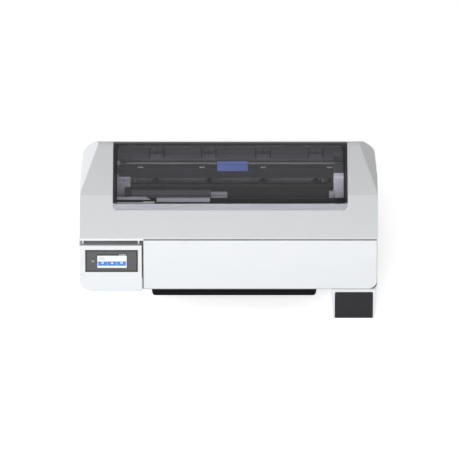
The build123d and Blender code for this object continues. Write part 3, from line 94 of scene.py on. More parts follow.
@dataclass
class Wiring:
    """A node tree with short calls to add and join nodes."""

    tree: Tree

    def add(self, kind: str, **settings: object) -> bpy.types.Node:
        """Add one shader node.

        Args:
            kind: the node's type after "ShaderNode".
            settings: node properties, given by name.

        Returns:
            The new node.
        """
        node = self.tree.nodes.new("ShaderNode" + kind)
        for key, value in settings.items():
            setattr(node, key, value)
        return node

    def give(self, target: Socket, value: Given) -> None:
        """Link a socket to an input, or set the input to a constant.

        Args:
            target: the input socket.
            value: a socket, a number, a vector, or a colour with its opacity.
        """
        if isinstance(value, Socket):
            self.tree.links.new(value, target)
        else:
            target.default_value = value

    def math(self, operation: str, *values: Given, kind: str = "Math") -> Socket:
        """Add a math node.

        Args:
            operation: the math operation.
            values: what is given to each input that it uses.
            kind: "Math" for numbers, "VectorMath" for vectors.

        Returns:
            The result socket.
        """
        node = self.add(kind, operation=operation)
        for target, value in zip(node.inputs, values):
            self.give(target, value)
        return node.outputs[0]

    vector = partialmethod(math, kind="VectorMath")

    def split(self, vector: Socket) -> dict[str, Socket]:
        """Take a vector apart.

        Args:
            vector: the vector's socket.

        Returns:
            The sockets of its parts, by "X", "Y" and "Z".
        """
        node = self.add("SeparateXYZ")
        self.give(node.inputs[0], vector)
        return {part.name: part for part in node.outputs}

    def noise(self, place: Socket, scale: Given, detail: float = 2.0) -> Socket:
        """Add a noise texture.

        Args:
            place: the position socket.
            scale: a socket or a number.
            detail: how many finer layers it has.

        Returns:
            The socket of its value.
        """
        node = self.add("TexNoise")
        for name, value in (("Vector", place), ("Scale", scale), ("Detail", detail)):
            self.give(node.inputs[name], value)
        return node.outputs["Fac"]

    def ramp(self, value: Socket, low: Given, high: Given) -> Socket:
        """Map a value from the range 0 to 1 onto another range.

        Args:
            value: the value's socket.
            low: a socket or a number, given where the value is 0.
            high: a socket or a number, given where the value is 1.

        Returns:
            The result socket.
        """
        node = self.add("MapRange")
        for name, end in (("Value", value), ("To Min", low), ("To Max", high)):
            self.give(node.inputs[name], end)
        return node.outputs["Result"]

    def blend(self, factor: Socket, first: Given, second: Given) -> Socket:
        """Mix two colours by a mask.

        Args:
            factor: the mask.
            first: a colour or a colour socket, shown where the mask is 0.
            second: a colour or a colour socket, shown where the mask is 1.

        Returns:
            The mixed colour socket.
        """
        node = self.add("Mix", data_type="RGBA")
        self.give(node.inputs["Factor"], factor)
        for target, value in ((node.inputs[6], first), (node.inputs[7], second)):
            self.give(target, value if isinstance(value, Socket) else (*value, 1.0))
        return node.outputs[2]


class GroupWiring(Wiring):
    """A new shader node group with named sockets."""

    def __init__(self, name: str, inputs: dict[str, str], outputs: dict[str, str]) -> None:
        """Make the group.

        Args:
            name: the group's name.
            inputs: the kind of each input, by its name.
            outputs: the kind of each output, by its name.
        """
        super().__init__(bpy.data.node_groups.new(name, "ShaderNodeTree"))
        for way, sockets in (("INPUT", inputs), ("OUTPUT", outputs)):
            for label, kind in sockets.items():
                self.tree.interface.new_socket(name=label, in_out=way, socket_type="NodeSocket" + kind)
        self.source = self.tree.nodes.new("NodeGroupInput")
        self.sink = self.tree.nodes.new("NodeGroupOutput")

    def given(self, name: str) -> Socket:
        """Get one of the group's inputs.

        Args:
            name: the input's name.

        Returns:
            Its socket inside the group.
        """
        return self.source.outputs[name]

    def result(self, name: str, value: Socket) -> None:
        """Give out one of the group's results.

        Args:
            name: the output's name.
            value: the socket that it shows.
        """
        self.give(self.sink.inputs[name], value)


class SharedEffects:
    """The node groups that more than one finish uses, each built once."""

    grain_detail = 3.0
    grain_share = 0.5
    line_detail = 4.0
    line_scale = 900.0

    @cached_property
    def mottle(self) -> Tree:
        """The group that varies colour, roughness and height as moulded plastic does."""
        group = GroupWiring(
            "moulded_grain",
            {"Position": "Vector", "Light": "Color", "Dark": "Color", "Grain": "Float",
             "Cloud": "Float", "Smoothest": "Float", "Roughest": "Float"},
            {"Colour": "Color", "Roughness": "Float", "Height": "Float"})
        grain = group.noise(group.given("Position"), group.given("Grain"), self.grain_detail)
        cloud = group.noise(group.given("Position"), group.given("Cloud"))
        rest = group.math("MULTIPLY", cloud, 1.0 - self.grain_share)
        mixed = group.math("MULTIPLY_ADD", grain, self.grain_share, rest)
        group.result("Colour", group.blend(cloud, group.given("Light"), group.given("Dark")))
        rough = group.ramp(mixed, group.given("Smoothest"), group.given("Roughest"))
        group.result("Roughness", rough)
        group.result("Height", grain)
        return group.tree

    @cached_property
    def brushing(self) -> Tree:
        """The group that draws fine lines along one direction."""
        group = GroupWiring(
            "drawn_metal",
            {"Position": "Vector", "Stretch": "Vector", "Light": "Color", "Dark": "Color"},
            {"Colour": "Color", "Mask": "Float"})
        stretched = group.vector("MULTIPLY", group.given("Position"), group.given("Stretch"))
        lines = group.noise(stretched, self.line_scale, self.line_detail)
        group.result("Colour", group.blend(lines, group.given("Light"), group.given("Dark")))
        group.result("Mask", lines)
        return group.tree

    @cached_property
    def patch(self) -> Tree:
        """The group that masks one upright rectangle in X and Z."""
        group = GroupWiring(
            "rectangle_mask", {"Position": "Vector", "Centre": "Vector", "Half": "Vector"},
            {"Mask": "Float"})
        offset = group.vector("SUBTRACT", group.given("Position"), group.given("Centre"))
        edge = group.vector("SUBTRACT", group.vector("ABSOLUTE", offset), group.given("Half"))
        parts = group.split(edge)
        furthest = group.math("MAXIMUM", parts["X"], parts["Z"])
        group.result("Mask", group.math("LESS_THAN", furthest, 0.0))
        return group.tree


EFFECTS = SharedEffects()


class Paint(Wiring):
    """One material with a Principled shader, ready for its finish to join things to."""

    def __init__(self, name: str) -> None:
        """Make the material.

        Args:
            name: the finish's name.
        """
        self.material = bpy.data.materials.new(name)
        self.material.use_nodes = True
        super().__init__(self.material.node_tree)
        self.tree.nodes.clear()
        self.shader = self.add("BsdfPrincipled")
        self.output = self.add("OutputMaterial")
        self.here = self.add("TexCoord").outputs["Object"]
        self.give(self.output.inputs["Surface"], self.shader.outputs[0])

    def group(self, tree: Tree, **values: Given) -> bpy.types.Node:
        """Place a shared group and set its inputs.

        Args:
            tree: the group's node tree.
            values: input values by name.

        Returns:
            The group node, joined to Object coordinates.
        """
        node = self.add("Group", node_tree=tree)
        for name, value in {"Position": self.here, **values}.items():
            self.give(node.inputs[name], value)
        return node

    def feed(self, name: str, value: Given) -> None:
        """Join a socket to one of the shader's inputs, or set the input to a constant.

        Args:
            name: the input's name.
            value: a socket, a number, or a colour with its opacity.
        """
        self.give(self.shader.inputs[name], value)

    def bump(self, height: Socket, strength: float, distance: float) -> None:
        """Join a height to the shader's normal.

        Args:
            height: the height socket.
            strength: how much of the effect shows.
            distance: the depth in metres.
        """
        node = self.add("Bump")
        for name, value in (("Strength", strength), ("Distance", distance), ("Height", height)):
            self.give(node.inputs[name], value)
        self.feed("Normal", node.outputs[0])

    def mould(self, look: "Plastic | TwoTone | FramedPlate", **tones: Given) -> bpy.types.Node:
        """Give the shader the uneven gloss and fine grain of a moulded surface.

        Args:
            look: the finish whose grain, clouds, rough, relief and depth are used.
            tones: its Light and Dark colours, if the group blends them.

        Returns:
            The group node.
        """
        node = self.group(EFFECTS.mottle, Grain=look.grain, Cloud=look.clouds,
                          Smoothest=look.rough[0], Roughest=look.rough[1], **tones)
        self.feed("Roughness", node.outputs["Roughness"])
        self.bump(node.outputs["Height"], look.relief, look.depth)
        return node


def toned(colour: Colour, factor: float) -> tuple[float, float, float, float]:
    """Scale a colour's brightness.

    Args:
        colour: red, green and blue.
        factor: the multiplier.

    Returns:
        The new colour with full opacity.
    """
    return (*(min(1.0, part * factor) for part in colour), 1.0)


@dataclass(frozen=True)
class Plastic:
    """Moulded plastic, or paint that looks like it."""

    name: str
    colour: Colour
    rough: Span = (0.38, 0.52)
    grain: float = 900.0
    depth: float = 0.00005
    variation: float = 0.96
    metallic: float = 0.0
    gloss: float = 0.5
    transmission: float = 0.0
    clouds: float = 9.0
    relief: float = 0.25

    def material(self) -> Material:
        """Build the finish."""
        paint = Paint(self.name)
        surface = paint.mould(self, Light=toned(self.colour, 1.0), Dark=toned(self.colour, self.variation))
        paint.feed("Base Color", surface.outputs["Colour"])
        paint.feed("Metallic", self.metallic)
        paint.feed("Specular IOR Level", self.gloss)
        paint.feed("Transmission Weight", self.transmission)
        return paint.material


@dataclass(frozen=True)
class TwoTone:
    """Moulded plastic of two colours that meet on a straight line."""

    name: str
    colour: Colour
    second: Colour
    along: str
    line: float
    rough: Span = (0.36, 0.5)
    grain: float = 900.0
    depth: float = 0.00005
    clouds: float = 9.0
    relief: float = 0.25

    def material(self) -> Material:
        """Build the finish."""
        paint = Paint(self.name)
        beyond = paint.math("GREATER_THAN", paint.split(paint.here)[self.along], self.line)
        paint.feed("Base Color", paint.blend(beyond, self.colour, self.second))
        paint.mould(self)
        return paint.material


@dataclass(frozen=True)
class Metal:
    """Bare or plated metal with drawn lines."""

    name: str
    colour: Colour
    roughness: float = 0.32
    run: Axis = Axis.X
    contrast: float = 0.86
    metallic: float = 1.0
    spread: Span = (0.8, 1.25)
    depth: float = 0.00003
    relief: float = 0.15

    def material(self) -> Material:
        """Build the finish."""
        paint = Paint(self.name)
        lines = paint.group(EFFECTS.brushing, Stretch=self.run.value,
                            Light=toned(self.colour, 1.0), Dark=toned(self.colour, self.contrast))
        paint.feed("Base Color", lines.outputs["Colour"])
        low, high = (self.roughness * share for share in self.spread)
        paint.feed("Roughness", paint.ramp(lines.outputs["Mask"], low, high))
        paint.feed("Metallic", self.metallic)
        paint.bump(lines.outputs["Mask"], self.relief, self.depth)
        return paint.material


@dataclass(frozen=True)
class TintedSheet:
    """Smoked clear sheet that lets light through to the inside."""

    name: str
    colour: Colour
    through: Colour
    low: Vector
    high: Vector
    roughest: float = 0.0015
    ior: float = 1.2
    gloss: float = 0.1
    haze_scale: float = 14.0
    border: float = 0.0078
    line: float = 0.003
    line_start: float = 0.193
    border_start: float = 0.034
    # The rear band is a printed border widened into painted shade over the shadowed rear edge.
    rear_print_and_shade: float = 0.056
    black: Colour = (0.004, 0.004, 0.005)
    shade: Colour = (0.07, 0.068, 0.078)

    def print_and_shade_masks(self, paint: Paint) -> tuple[Socket, Socket]:
        """Give the masks of the border printed along both sides and of the black rear band, a printed
        border widened into painted shade over the shadowed rear edge.

        Args:
            paint: the material being built.

        Returns:
            The mask of the grey part and the mask of the black part.
        """
        parts = paint.split(paint.here)
        middle, half = (self.low.x + self.high.x) / 2, (self.high.x - self.low.x) / 2
        across = paint.math("ABSOLUTE", paint.math("SUBTRACT", parts["X"], middle))
        along = parts["Y"]
        sides = paint.math("GREATER_THAN", across, half - self.border)
        behind = paint.math("GREATER_THAN", along, self.low.y + self.border_start)
        grey = paint.math("MULTIPLY", sides, behind)
        edge = paint.math("GREATER_THAN", across, half - self.line)
        further = paint.math("GREATER_THAN", along, self.low.y + self.line_start)
        upper = paint.math("MULTIPLY", edge, further)
        # Black rear band: print, widened into painted shade.
        rear = paint.math("GREATER_THAN", along, self.high.y - self.rear_print_and_shade)
        return grey, paint.math("MAXIMUM", upper, rear)

    def material(self) -> Material:
        """Build the finish."""
        paint = Paint(self.name)
        grey, black = self.print_and_shade_masks(paint)
        shaded = paint.blend(grey, self.colour, self.shade)
        paint.feed("Base Color", paint.blend(black, shaded, self.black))
        paint.feed("Transmission Weight", 1.0)
        paint.feed("IOR", self.ior)
        paint.feed("Specular IOR Level", self.gloss)
        haze = paint.noise(paint.here, self.haze_scale)
        paint.feed("Roughness", paint.ramp(haze, 0.0, self.roughest))
        clear = paint.add("BsdfTransparent")
        paint.give(clear.inputs["Color"], (*self.through, 1.0))
        mix = paint.add("MixShader")
        ways = (paint.add("LightPath").outputs["Is Shadow Ray"], paint.shader.outputs[0], clear.outputs[0])
        for target, value in zip(mix.inputs, ways):
            paint.give(target, value)
        paint.give(paint.output.inputs["Surface"], mix.outputs[0])
        return paint.material


@dataclass(frozen=True)
class FramedPlate:
    """The panel's bezel: a black edge round a dark grey field."""

    name: str
    low: Vector
    high: Vector
    edge: float = 0.0055
    rim: Colour = (0.014, 0.014, 0.015)
    plate: Colour = (0.072, 0.072, 0.071)
    coat: float = 0.2
    clouds: float = 12.0
    grain: float = 1200.0
    rough: Span = (0.24, 0.34)
    depth: float = 0.00003
    relief: float = 0.2

    def material(self) -> Material:
        """Build the finish."""
        paint = Paint(self.name)
        middle, half = (self.low + self.high) / 2, (self.high - self.low) / 2
        inside = paint.group(EFFECTS.patch, Centre=middle,
                             Half=(half.x - self.edge, half.y + 1.0, half.z - self.edge))
        paint.feed("Base Color", paint.blend(inside.outputs["Mask"], self.rim, self.plate))
        paint.feed("Coat Weight", self.coat)
        paint.mould(self)
        return paint.material


@dataclass(frozen=True)
class ScreenPatch:
    """One rectangle of the screen's picture, in shares of the screen from its left and top edges."""

    across: Span
    down: Span
    tint: str


@dataclass(frozen=True)
class ScreenPicture:
    """The lit touch screen: a dark bar, a pale field and three blue keys with plain pictures."""

    name: str
    low: Vector
    high: Vector
    tints: dict[str, Colour] = field(default_factory=lambda: {
        "dark": (0.02, 0.02, 0.025), "pale": (0.86, 0.89, 0.93), "blue": (0.03, 0.20, 0.62),
        "white": (0.95, 0.96, 0.98), "soft": (0.60, 0.66, 0.74)})
    marks: tuple[float, ...] = (0.74, 0.80, 0.86, 0.92)
    mark_width: float = 0.035
    keys: tuple[tuple[Icon, Span], ...] = (
        (Icon.SHEET, (0.03, 0.338)), (Icon.DISC, (0.346, 0.655)), (Icon.ROLL, (0.663, 0.97)))
    key_down: Span = (0.53, 0.84)
    glow: float = 0.1
    coat: float = 0.4
    clouds: float = 20.0
    grain: float = 60.0
    rough: Span = (0.12, 0.2)

    def at(self, across: float, down: float) -> Vector:
        """Give a point on the screen.

        Args:
            across: 0 at the left edge, 1 at the right.
            down: 0 at the top edge, 1 at the bottom.

        Returns:
            The point in the shared frame.
        """
        width, tall = self.high.x - self.low.x, self.high.z - self.low.z
        return Vector((self.low.x + across * width, 0.0, self.high.z - down * tall))

    def picture(self, kind: Icon, middle: float) -> list[ScreenPatch]:
        """Lay out the plain picture on a key.

        Args:
            kind: which picture.
            middle: the key's middle, 0 to 1 across.

        Returns:
            The picture's rectangles, the lowest first.
        """
        halves = {
            Icon.SHEET: ((0.03, (0.56, 0.70), "white"), (0.018, (0.60, 0.66), "blue")),
            Icon.DISC: ((0.012, (0.56, 0.64), "white"), (0.045, (0.66, 0.70), "white")),
            Icon.ROLL: ((0.04, (0.57, 0.61), "white"), (0.04, (0.65, 0.69), "white")),
        }
        return [ScreenPatch((middle - half, middle + half), down, tint)
                for half, down, tint in halves[kind]]

    def layout(self) -> list[ScreenPatch]:
        """List every rectangle of the picture, the lowest first."""
        patches = [ScreenPatch((0.012, 0.988), (0.14, 0.975), "pale")]
        patches.extend(ScreenPatch((left, left + self.mark_width), (0.05, 0.10), "white")
                       for left in self.marks)
        patches.append(ScreenPatch((0.05, 0.26), (0.22, 0.46), "soft"))
        patches.append(ScreenPatch((0.34, 0.90), (0.24, 0.29), "soft"))
        patches.append(ScreenPatch((0.34, 0.74), (0.38, 0.42), "soft"))
        for kind, across in self.keys:
            patches.append(ScreenPatch(across, self.key_down, "blue"))
            patches.extend(self.picture(kind, sum(across) / 2))
        return patches

    def material(self) -> Material:
        """Build the finish."""
        paint = Paint(self.name)
        colour: Given = self.tints["dark"]
        for patch in self.layout():
            first, last = (self.at(*point) for point in zip(patch.across, patch.down))
            half = (last - first) / 2
            group = paint.group(EFFECTS.patch, Centre=(first + last) / 2,
                                Half=(abs(half.x), 1.0, abs(half.z)))
            colour = paint.blend(group.outputs["Mask"], colour, self.tints[patch.tint])
        paint.feed("Base Color", colour)
        paint.feed("Emission Color", colour)
        paint.feed("Emission Strength", self.glow)
        paint.feed("Coat Weight", self.coat)
        smear = paint.group(EFFECTS.mottle, Grain=self.grain, Cloud=self.clouds,
                            Smoothest=self.rough[0], Roughest=self.rough[1])
        paint.feed("Roughness", smear.outputs["Roughness"])
        return paint.material


Recipe = Plastic | TwoTone | Metal | TintedSheet | FramedPlate | ScreenPicture


def frame_box(node: str) -> tuple[Vector, Vector]:
    """Give a node's lowest and highest corner at rest.

    Args:
        node: the node's name.

    Returns:
        The two corners in metres.
    """
    low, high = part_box(node)
    return Vector(low), Vector(high)


def top_front(node: str) -> tuple[Vector, Vector]:
    """Give both ends of the top front edge of a node's box at rest.

    Args:
        node: the node's name.

    Returns:
        The left end and the right end in metres.
    """
    low, high = frame_box(node)
    return Vector((low.x, low.y, high.z)), Vector((high.x, low.y, high.z))


@dataclass
class Finishes:
    """Every finish on the printer, built once and given out by its name."""

    made: dict[str, Material] = field(default_factory=dict)
    # The panel recess gets a very dark grey: painted shade for the recess behind the control panel.
    own_looks: dict[str, str] = field(default_factory=lambda: {
        "carriage": "carriage_shell", "paper_cutter": "cutter_shell",
        "steel_brackets": "pale_bracket", "panel_recess": "liner_grey",
        "bottom_tray": "tray_black", "ridge_beam": "beam_grey", "platen": "platen_grey"})
    ink_colours: dict[str, tuple[Colour, Colour]] = field(default_factory=lambda: {
        "black": ((0.02, 0.02, 0.022), (0.02, 0.02, 0.022)),
        "cyan": ((0.0, 0.30, 0.55), (0.0, 0.24, 0.45)),
        "magenta": ((0.55, 0.02, 0.22), (0.45, 0.02, 0.18)),
        "yellow": ((0.80, 0.62, 0.03), (0.68, 0.52, 0.03))})
    carriage_line: float = 0.022
    cutter_line: float = 0.007

    def plastics(self) -> list[Plastic]:
        """List the moulded and painted finishes."""
        satin, matt, painted = (0.34, 0.46), (0.4, 0.55), (0.36, 0.5)
        sheet = {"grain": 240.0, "depth": 0.00002, "variation": 0.9}
        looks = [
            Plastic("white_shell", (0.78, 0.80, 0.815), satin, 1400.0, 0.00003, 0.97),
            Plastic("black_plastic", (0.014, 0.014, 0.015), matt, gloss=0.2),
            Plastic("dark_plastic", (0.014, 0.014, 0.016), matt, gloss=0.25),
            Plastic("light_plastic", (0.52, 0.51, 0.56), satin),
            Plastic("grey_plastic", (0.36, 0.37, 0.39), (0.36, 0.48)),
            # Very dark grey for the panel recess: painted shade where the recess lies in shadow.
            Plastic("liner_grey", (0.075, 0.077, 0.081), matt),
            Plastic("tray_black", (0.005, 0.005, 0.0055), (0.5, 0.65), gloss=0.06),
            Plastic("pale_bracket", (0.62, 0.60, 0.67), painted, **sheet),
            Plastic("beam_grey", (0.12, 0.116, 0.134), matt, 600.0, gloss=0.3),
            Plastic("platen_grey", (0.034, 0.034, 0.037), matt, gloss=0.25),
            Plastic("bay_pale", (0.60, 0.59, 0.64), (0.36, 0.48)),
            Plastic("inlay_grey", (0.135, 0.135, 0.145), (0.4, 0.5)),
            Plastic("lamp_white", (0.85, 0.86, 0.88), (0.3, 0.4)),
            Plastic("steel", (0.47, 0.46, 0.49), (0.34, 0.48), metallic=0.45, **sheet),
            Plastic("dark_steel", (0.062, 0.060, 0.070), matt, 600.0, gloss=0.3),
            Plastic("bracket_steel", (0.15, 0.146, 0.166), painted, gloss=0.4, **sheet),
            Plastic("rubber", (0.03, 0.03, 0.031), (0.6, 0.8), 500.0, 0.0001),
            Plastic("clear_strip", (0.5, 0.5, 0.52), (0.1, 0.2), transmission=0.4),
            Plastic("blue_plastic", (0.19, 0.27, 0.68), (0.28, 0.4)),
            Plastic("board", (0.02, 0.16, 0.06), (0.3, 0.42), 300.0, 0.0001, 0.7),
        ]
        for name, (ink, cap) in self.ink_colours.items():
            looks.append(Plastic(f"ink_{name}", ink, (0.25, 0.35)))
            looks.append(Plastic(f"cap_{name}", cap, (0.5, 0.65)))
        return looks

    def recipes(self) -> list[Recipe]:
        """List every finish."""
        carriage_front = frame_box("carriage")[0].y
        cutter_top = frame_box("paper_cutter")[1].z
        return [
            *self.plastics(),
            TintedSheet("tinted_sheet", (0.505, 0.502, 0.522), (0.90, 0.90, 0.91),
                        *frame_box("printer_cover")),
            TwoTone("carriage_shell", (0.86, 0.84, 0.92), (0.06, 0.058, 0.065), "Y",
                    carriage_front + self.carriage_line),
            TwoTone("cutter_shell", (0.06, 0.06, 0.065), (0.40, 0.395, 0.425), "Z",
                    cutter_top - self.cutter_line),
            FramedPlate("bezel", *frame_box("control_panel_bezel")),
            ScreenPicture("screen", *frame_box("touch_screen")),
            Metal("pin_steel", (0.62, 0.62, 0.63), 0.2),
            Metal("aluminium", (0.66, 0.66, 0.70), 0.42, metallic=0.6),
            Metal("motor_can", (0.30, 0.30, 0.31), 0.4, Axis.Z),
            Metal("brass", (0.70, 0.50, 0.22), 0.3),
        ]

    def build(self) -> None:
        """Build every finish."""
        for recipe in self.recipes():
            self.made[recipe.name] = recipe.material()
            LOG.info("finish %s", recipe.name)

    def dress_nodes(self) -> None:
        """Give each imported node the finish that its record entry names."""
        for entry in frame["record"]["subparts"]:
            obj = frame["nodes"][entry["node"]]
            obj.data.materials.clear()
            look = self.own_looks.get(entry["node"], entry["material_slot"])
            obj.data.materials.append(self.made[look])
            LOG.info("dressed %s", entry["node"])


@dataclass(frozen=True)
class Slab:
    """A block with rounded edges, its spans measured in metres from one or two known points."""

    name: str
    across: Span
    along: Span
    tall: Span
    edge: float


@dataclass
class Bench:
    """Models small pieces with Blender's own tools and hands them over finished."""

    finishes: Finishes
    alike: float = 0.95
    crease: float = math.radians(35)

    def clear(self) -> None:
        """Deselect everything."""
        bpy.ops.object.select_all(action="DESELECT")

    def apply(self) -> None:
        """Move the selected piece's place, turn and size into its mesh."""
        bpy.ops.object.transform_apply(location=True, rotation=True, scale=True)

    def hold(self, piece: Piece) -> None:
        """Select one piece alone and make it active.

        Args:
            piece: the piece.
        """
        self.clear()
        piece.select_set(True)
        bpy.context.view_layer.objects.active = piece

    def slab(self, shape: Slab, start: Vector, end: Vector | None = None) -> Piece:
        """Model a block with rounded edges.

        Args:
            shape: its name, spans and rounding.
            start: the point that the first of each span is measured from.
            end: the point that the last of each span is measured from, if it is another one.

        Returns:
            The piece, with its place in its mesh.
        """
        spans = (shape.across, shape.along, shape.tall)
        first = start + Vector([span[0] for span in spans])
        last = (start if end is None else end) + Vector([span[1] for span in spans])
        bpy.ops.mesh.primitive_cube_add(size=1.0, location=(first + last) / 2)
        piece = bpy.context.object
        piece.name = shape.name
        piece.scale = last - first
        self.apply()
        self.soften(piece, shape.edge)
        return piece

    def soften(self, piece: Piece, width: float, segments: int = 3) -> None:
        """Round the edges of a piece.

        Args:
            piece: the piece.
            width: the bevel's width in metres.
            segments: how many steps the bevel has.
        """
        self.hold(piece)
        bevel = piece.modifiers.new("soft_edges", "BEVEL")
        bevel.width = width
        bevel.segments = segments
        bpy.ops.object.modifier_apply(modifier=bevel.name)

    def sink(self, piece: Piece, way: Way, border: float, depth: float) -> None:
        """Inset the faces that look one way and push them in.

        Args:
            piece: the piece.
            way: the direction that the faces look in.
            border: the width of the rim left round them.
            depth: how far they go in.
        """
        self.hold(piece)
        direction = Vector(way)
        for face in piece.data.polygons:
            face.select = face.normal.dot(direction) > self.alike
        for part in (*piece.data.edges, *piece.data.vertices):
            part.select = False
        bpy.ops.object.mode_set(mode="EDIT")
        bpy.ops.mesh.select_mode(type="FACE")
        bpy.ops.mesh.inset(thickness=border, depth=0.0)
        bpy.ops.mesh.extrude_region_move(TRANSFORM_OT_translate={"value": direction * -depth})
        bpy.ops.object.mode_set(mode="OBJECT")

    def cut(self, piece: Piece, tool: Piece) -> None:
        """Cut one piece's shape out of another and drop the tool.

        Args:
            piece: the piece that is cut.
            tool: the shape taken out.
        """
        self.hold(piece)
        taken = piece.modifiers.new("cut", "BOOLEAN")
        taken.operation = "DIFFERENCE"
        taken.object = tool
        bpy.ops.object.modifier_apply(modifier=taken.name)
        bpy.data.objects.remove(tool, do_unlink=True)

    def join(self, name: str, pieces: list[Piece]) -> Piece:
        """Join pieces into one.

        Args:
            name: the joined piece's name.
            pieces: what is joined.

        Returns:
            The joined piece.
        """
        self.clear()
        for piece in pieces:
            piece.select_set(True)
        bpy.context.view_layer.objects.active = pieces[0]
        bpy.ops.object.join()
        joined = bpy.context.object
        joined.name = name
        return joined

    def copy(self, piece: Piece, place: Vector, way: Vector | None = None) -> Piece:
        """Copy a piece that stands on the origin and faces up.

        Args:
            piece: the piece, modelled at the origin.
            place: where the copy goes.
            way: the direction that the copy faces, or nothing to leave it as modelled.

        Returns:
            The copy with its own mesh, its place applied.
        """
        twin = piece.copy()
        twin.data = piece.data.copy()
        bpy.context.collection.objects.link(twin)
        self.hold(twin)
        if way is not None:
            twin.rotation_euler = way.to_track_quat("Z", "Y").to_euler()
        twin.location = place
        self.apply()
        return twin

    def copies(self, name: str, master: Piece, places: list[Vector]) -> Piece:
        """Copy a piece to several places, join the copies and drop the first one.

        Args:
            name: the joined piece's name.
            master: the piece, modelled at the origin.
            places: where each copy goes.

        Returns:
            The joined piece.
        """
        twins = [self.copy(master, place) for place in places]
        bpy.data.objects.remove(master, do_unlink=True)
        return self.join(name, twins)

    def finish(self, piece: Piece, body: str, slot: str, look: str = "") -> Piece:
        """Give a piece its finish and its body.

        Args:
            piece: the piece.
            body: the body that it rides on.
            slot: the material slot.
            look: the finish, where it is not the slot's own.

        Returns:
            The same piece.
        """
        piece.data.materials.clear()
        piece.data.materials.append(self.finishes.made[look or slot])
        self.hold(piece)
        bpy.ops.object.shade_smooth_by_angle(angle=self.crease)
        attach(piece, body)
        LOG.info("piece %s rides on %s", piece.name, body)
        return piece


@dataclass
class ScrewSet:
    """Pan-head screws with a hexagonal socket, modelled once and copied."""

    bench: Bench
    radius: float = 0.0034
    height: float = 0.0018
    rounding: float = 0.3
    socket_share: float = 0.5
    inset: float = 0.012
    seat: float = 0.0002
    rear_seat: float = 0.0012
    bracket_spot: Span = (0.006, 0.0015)
    bracket_rises: tuple[float, ...] = (0.012, 0.04, 0.07)

    def master(self) -> Piece:
        """Model one screw head at the origin, facing up."""
        bpy.ops.mesh.primitive_cylinder_add(vertices=24, radius=self.radius, depth=self.height,
                                            location=(0, 0, self.height / 2))
        head = bpy.context.object
        head.name = "screw_master"
        self.bench.apply()
        self.bench.soften(head, self.height * self.rounding, 2)
        bpy.ops.mesh.primitive_cylinder_add(vertices=6, radius=self.radius * self.socket_share,
                                            depth=self.height, location=(0, 0, self.height))
        socket = bpy.context.object
        self.bench.apply()
        self.bench.cut(head, socket)
        return head

    def row(self, name: str, spots: list[Vector], way: Way) -> None:
        """Set screws into the chassis and join them.

        Args:
            name: the piece's name.
            spots: where the underside of each head lies.
            way: the direction that the heads face.
        """
        master = self.master()
        heads = [self.bench.copy(master, place, Vector(way)) for place in spots]
        bpy.data.objects.remove(master, do_unlink=True)
        self.bench.finish(self.bench.join(name, heads), "chassis", "pin_steel")

    def build(self) -> None:
        """Set every screw on the printer."""
        low, high = frame_box("rear_cover")
        self.row("rear_cover_screws",
                 [Vector((x, high.y - self.rear_seat, z))
                  for x in (low.x + self.inset, high.x - self.inset)
                  for z in (low.z + self.inset, high.z - self.inset)], TO_BACK)
        low = frame_box("steel_brackets")[0]
        across, along = self.bracket_spot
        self.row("rail_bracket_screws",
                 [low + Vector((across, along, rise)) for rise in self.bracket_rises], TO_FRONT)
        low, high = frame_box("power_supply")
        self.row("power_supply_screws",
                 [Vector((x, y, high.z - self.seat))
                  for x in (low.x + self.inset, high.x - self.inset)
                  for y in (low.y + self.inset, high.y - self.inset)], UP)


@dataclass
class PanelFittings:
    """The small catch and seam on the control panel's left side, a grey plate of painted shade on its top
    and the button's ring.
    """

    bench: Bench
    below_bezel: float = 0.0095
    ear_rise: float = 0.017
    catch: Slab = Slab("panel_catch", (0.02, 0.038), (-0.0006, 0.002), (-0.0026, 0.0026), 0.0005)
    seam: Slab = Slab("panel_seam", (0.002, 0.018), (-0.0001, 0.002), (-0.0003, 0.0003), 0.0001)
    # A grey plate on the housing's top: painted shade where the recess above the panel lies in shadow.
    liner: Slab = Slab("panel_top_painted_shade", (0.003, -0.0015), (0.019, -0.001), (-0.0004, 0.0007), 0.0003)
    ring_radius: float = 0.0032
    ring_wire: float = 0.0005
    ring_behind: float = 0.0001

    def build(self) -> None:
        """Model the catch, the seam, the grey plate of painted shade and the button's light."""
        bezel = frame_box("control_panel_bezel")[0]
        low, high = frame_box("control_panel_housing")
        face = bezel.y - self.below_bezel * math.tan(PANEL_LEAN)
        spot = Vector((low.x, face, bezel.z - self.below_bezel))
        self.bench.finish(self.bench.slab(self.catch, spot), "control_panel", "white_shell")
        self.bench.finish(self.bench.slab(self.seam, spot), "control_panel", "grey_plastic")
        top = high.z - self.ear_rise
        # Grey plate of painted shade over the housing's lit top face.
        liner = self.bench.slab(self.liner, Vector((low.x, low.y, top)), Vector((high.x, high.y, top)))
        self.bench.sink(liner, UP, border=0.002, depth=0.0003)
        self.bench.finish(liner, "control_panel", "grey_plastic")
        self.light()

    def light(self) -> None:
        """Model the lit ring on the power button."""
        low, high = frame_box("power_button")
        middle = (low + high) / 2
        bpy.ops.mesh.primitive_torus_add(
            major_radius=self.ring_radius, minor_radius=self.ring_wire, major_segments=40,
            minor_segments=10, location=(middle.x, low.y + self.ring_behind, middle.z),
            rotation=(math.radians(90) - PANEL_LEAN, 0, 0))
        ring = bpy.context.object
        ring.name = "power_light"
        self.bench.apply()
        self.bench.finish(ring, "power_button", "white_shell", "lamp_white")


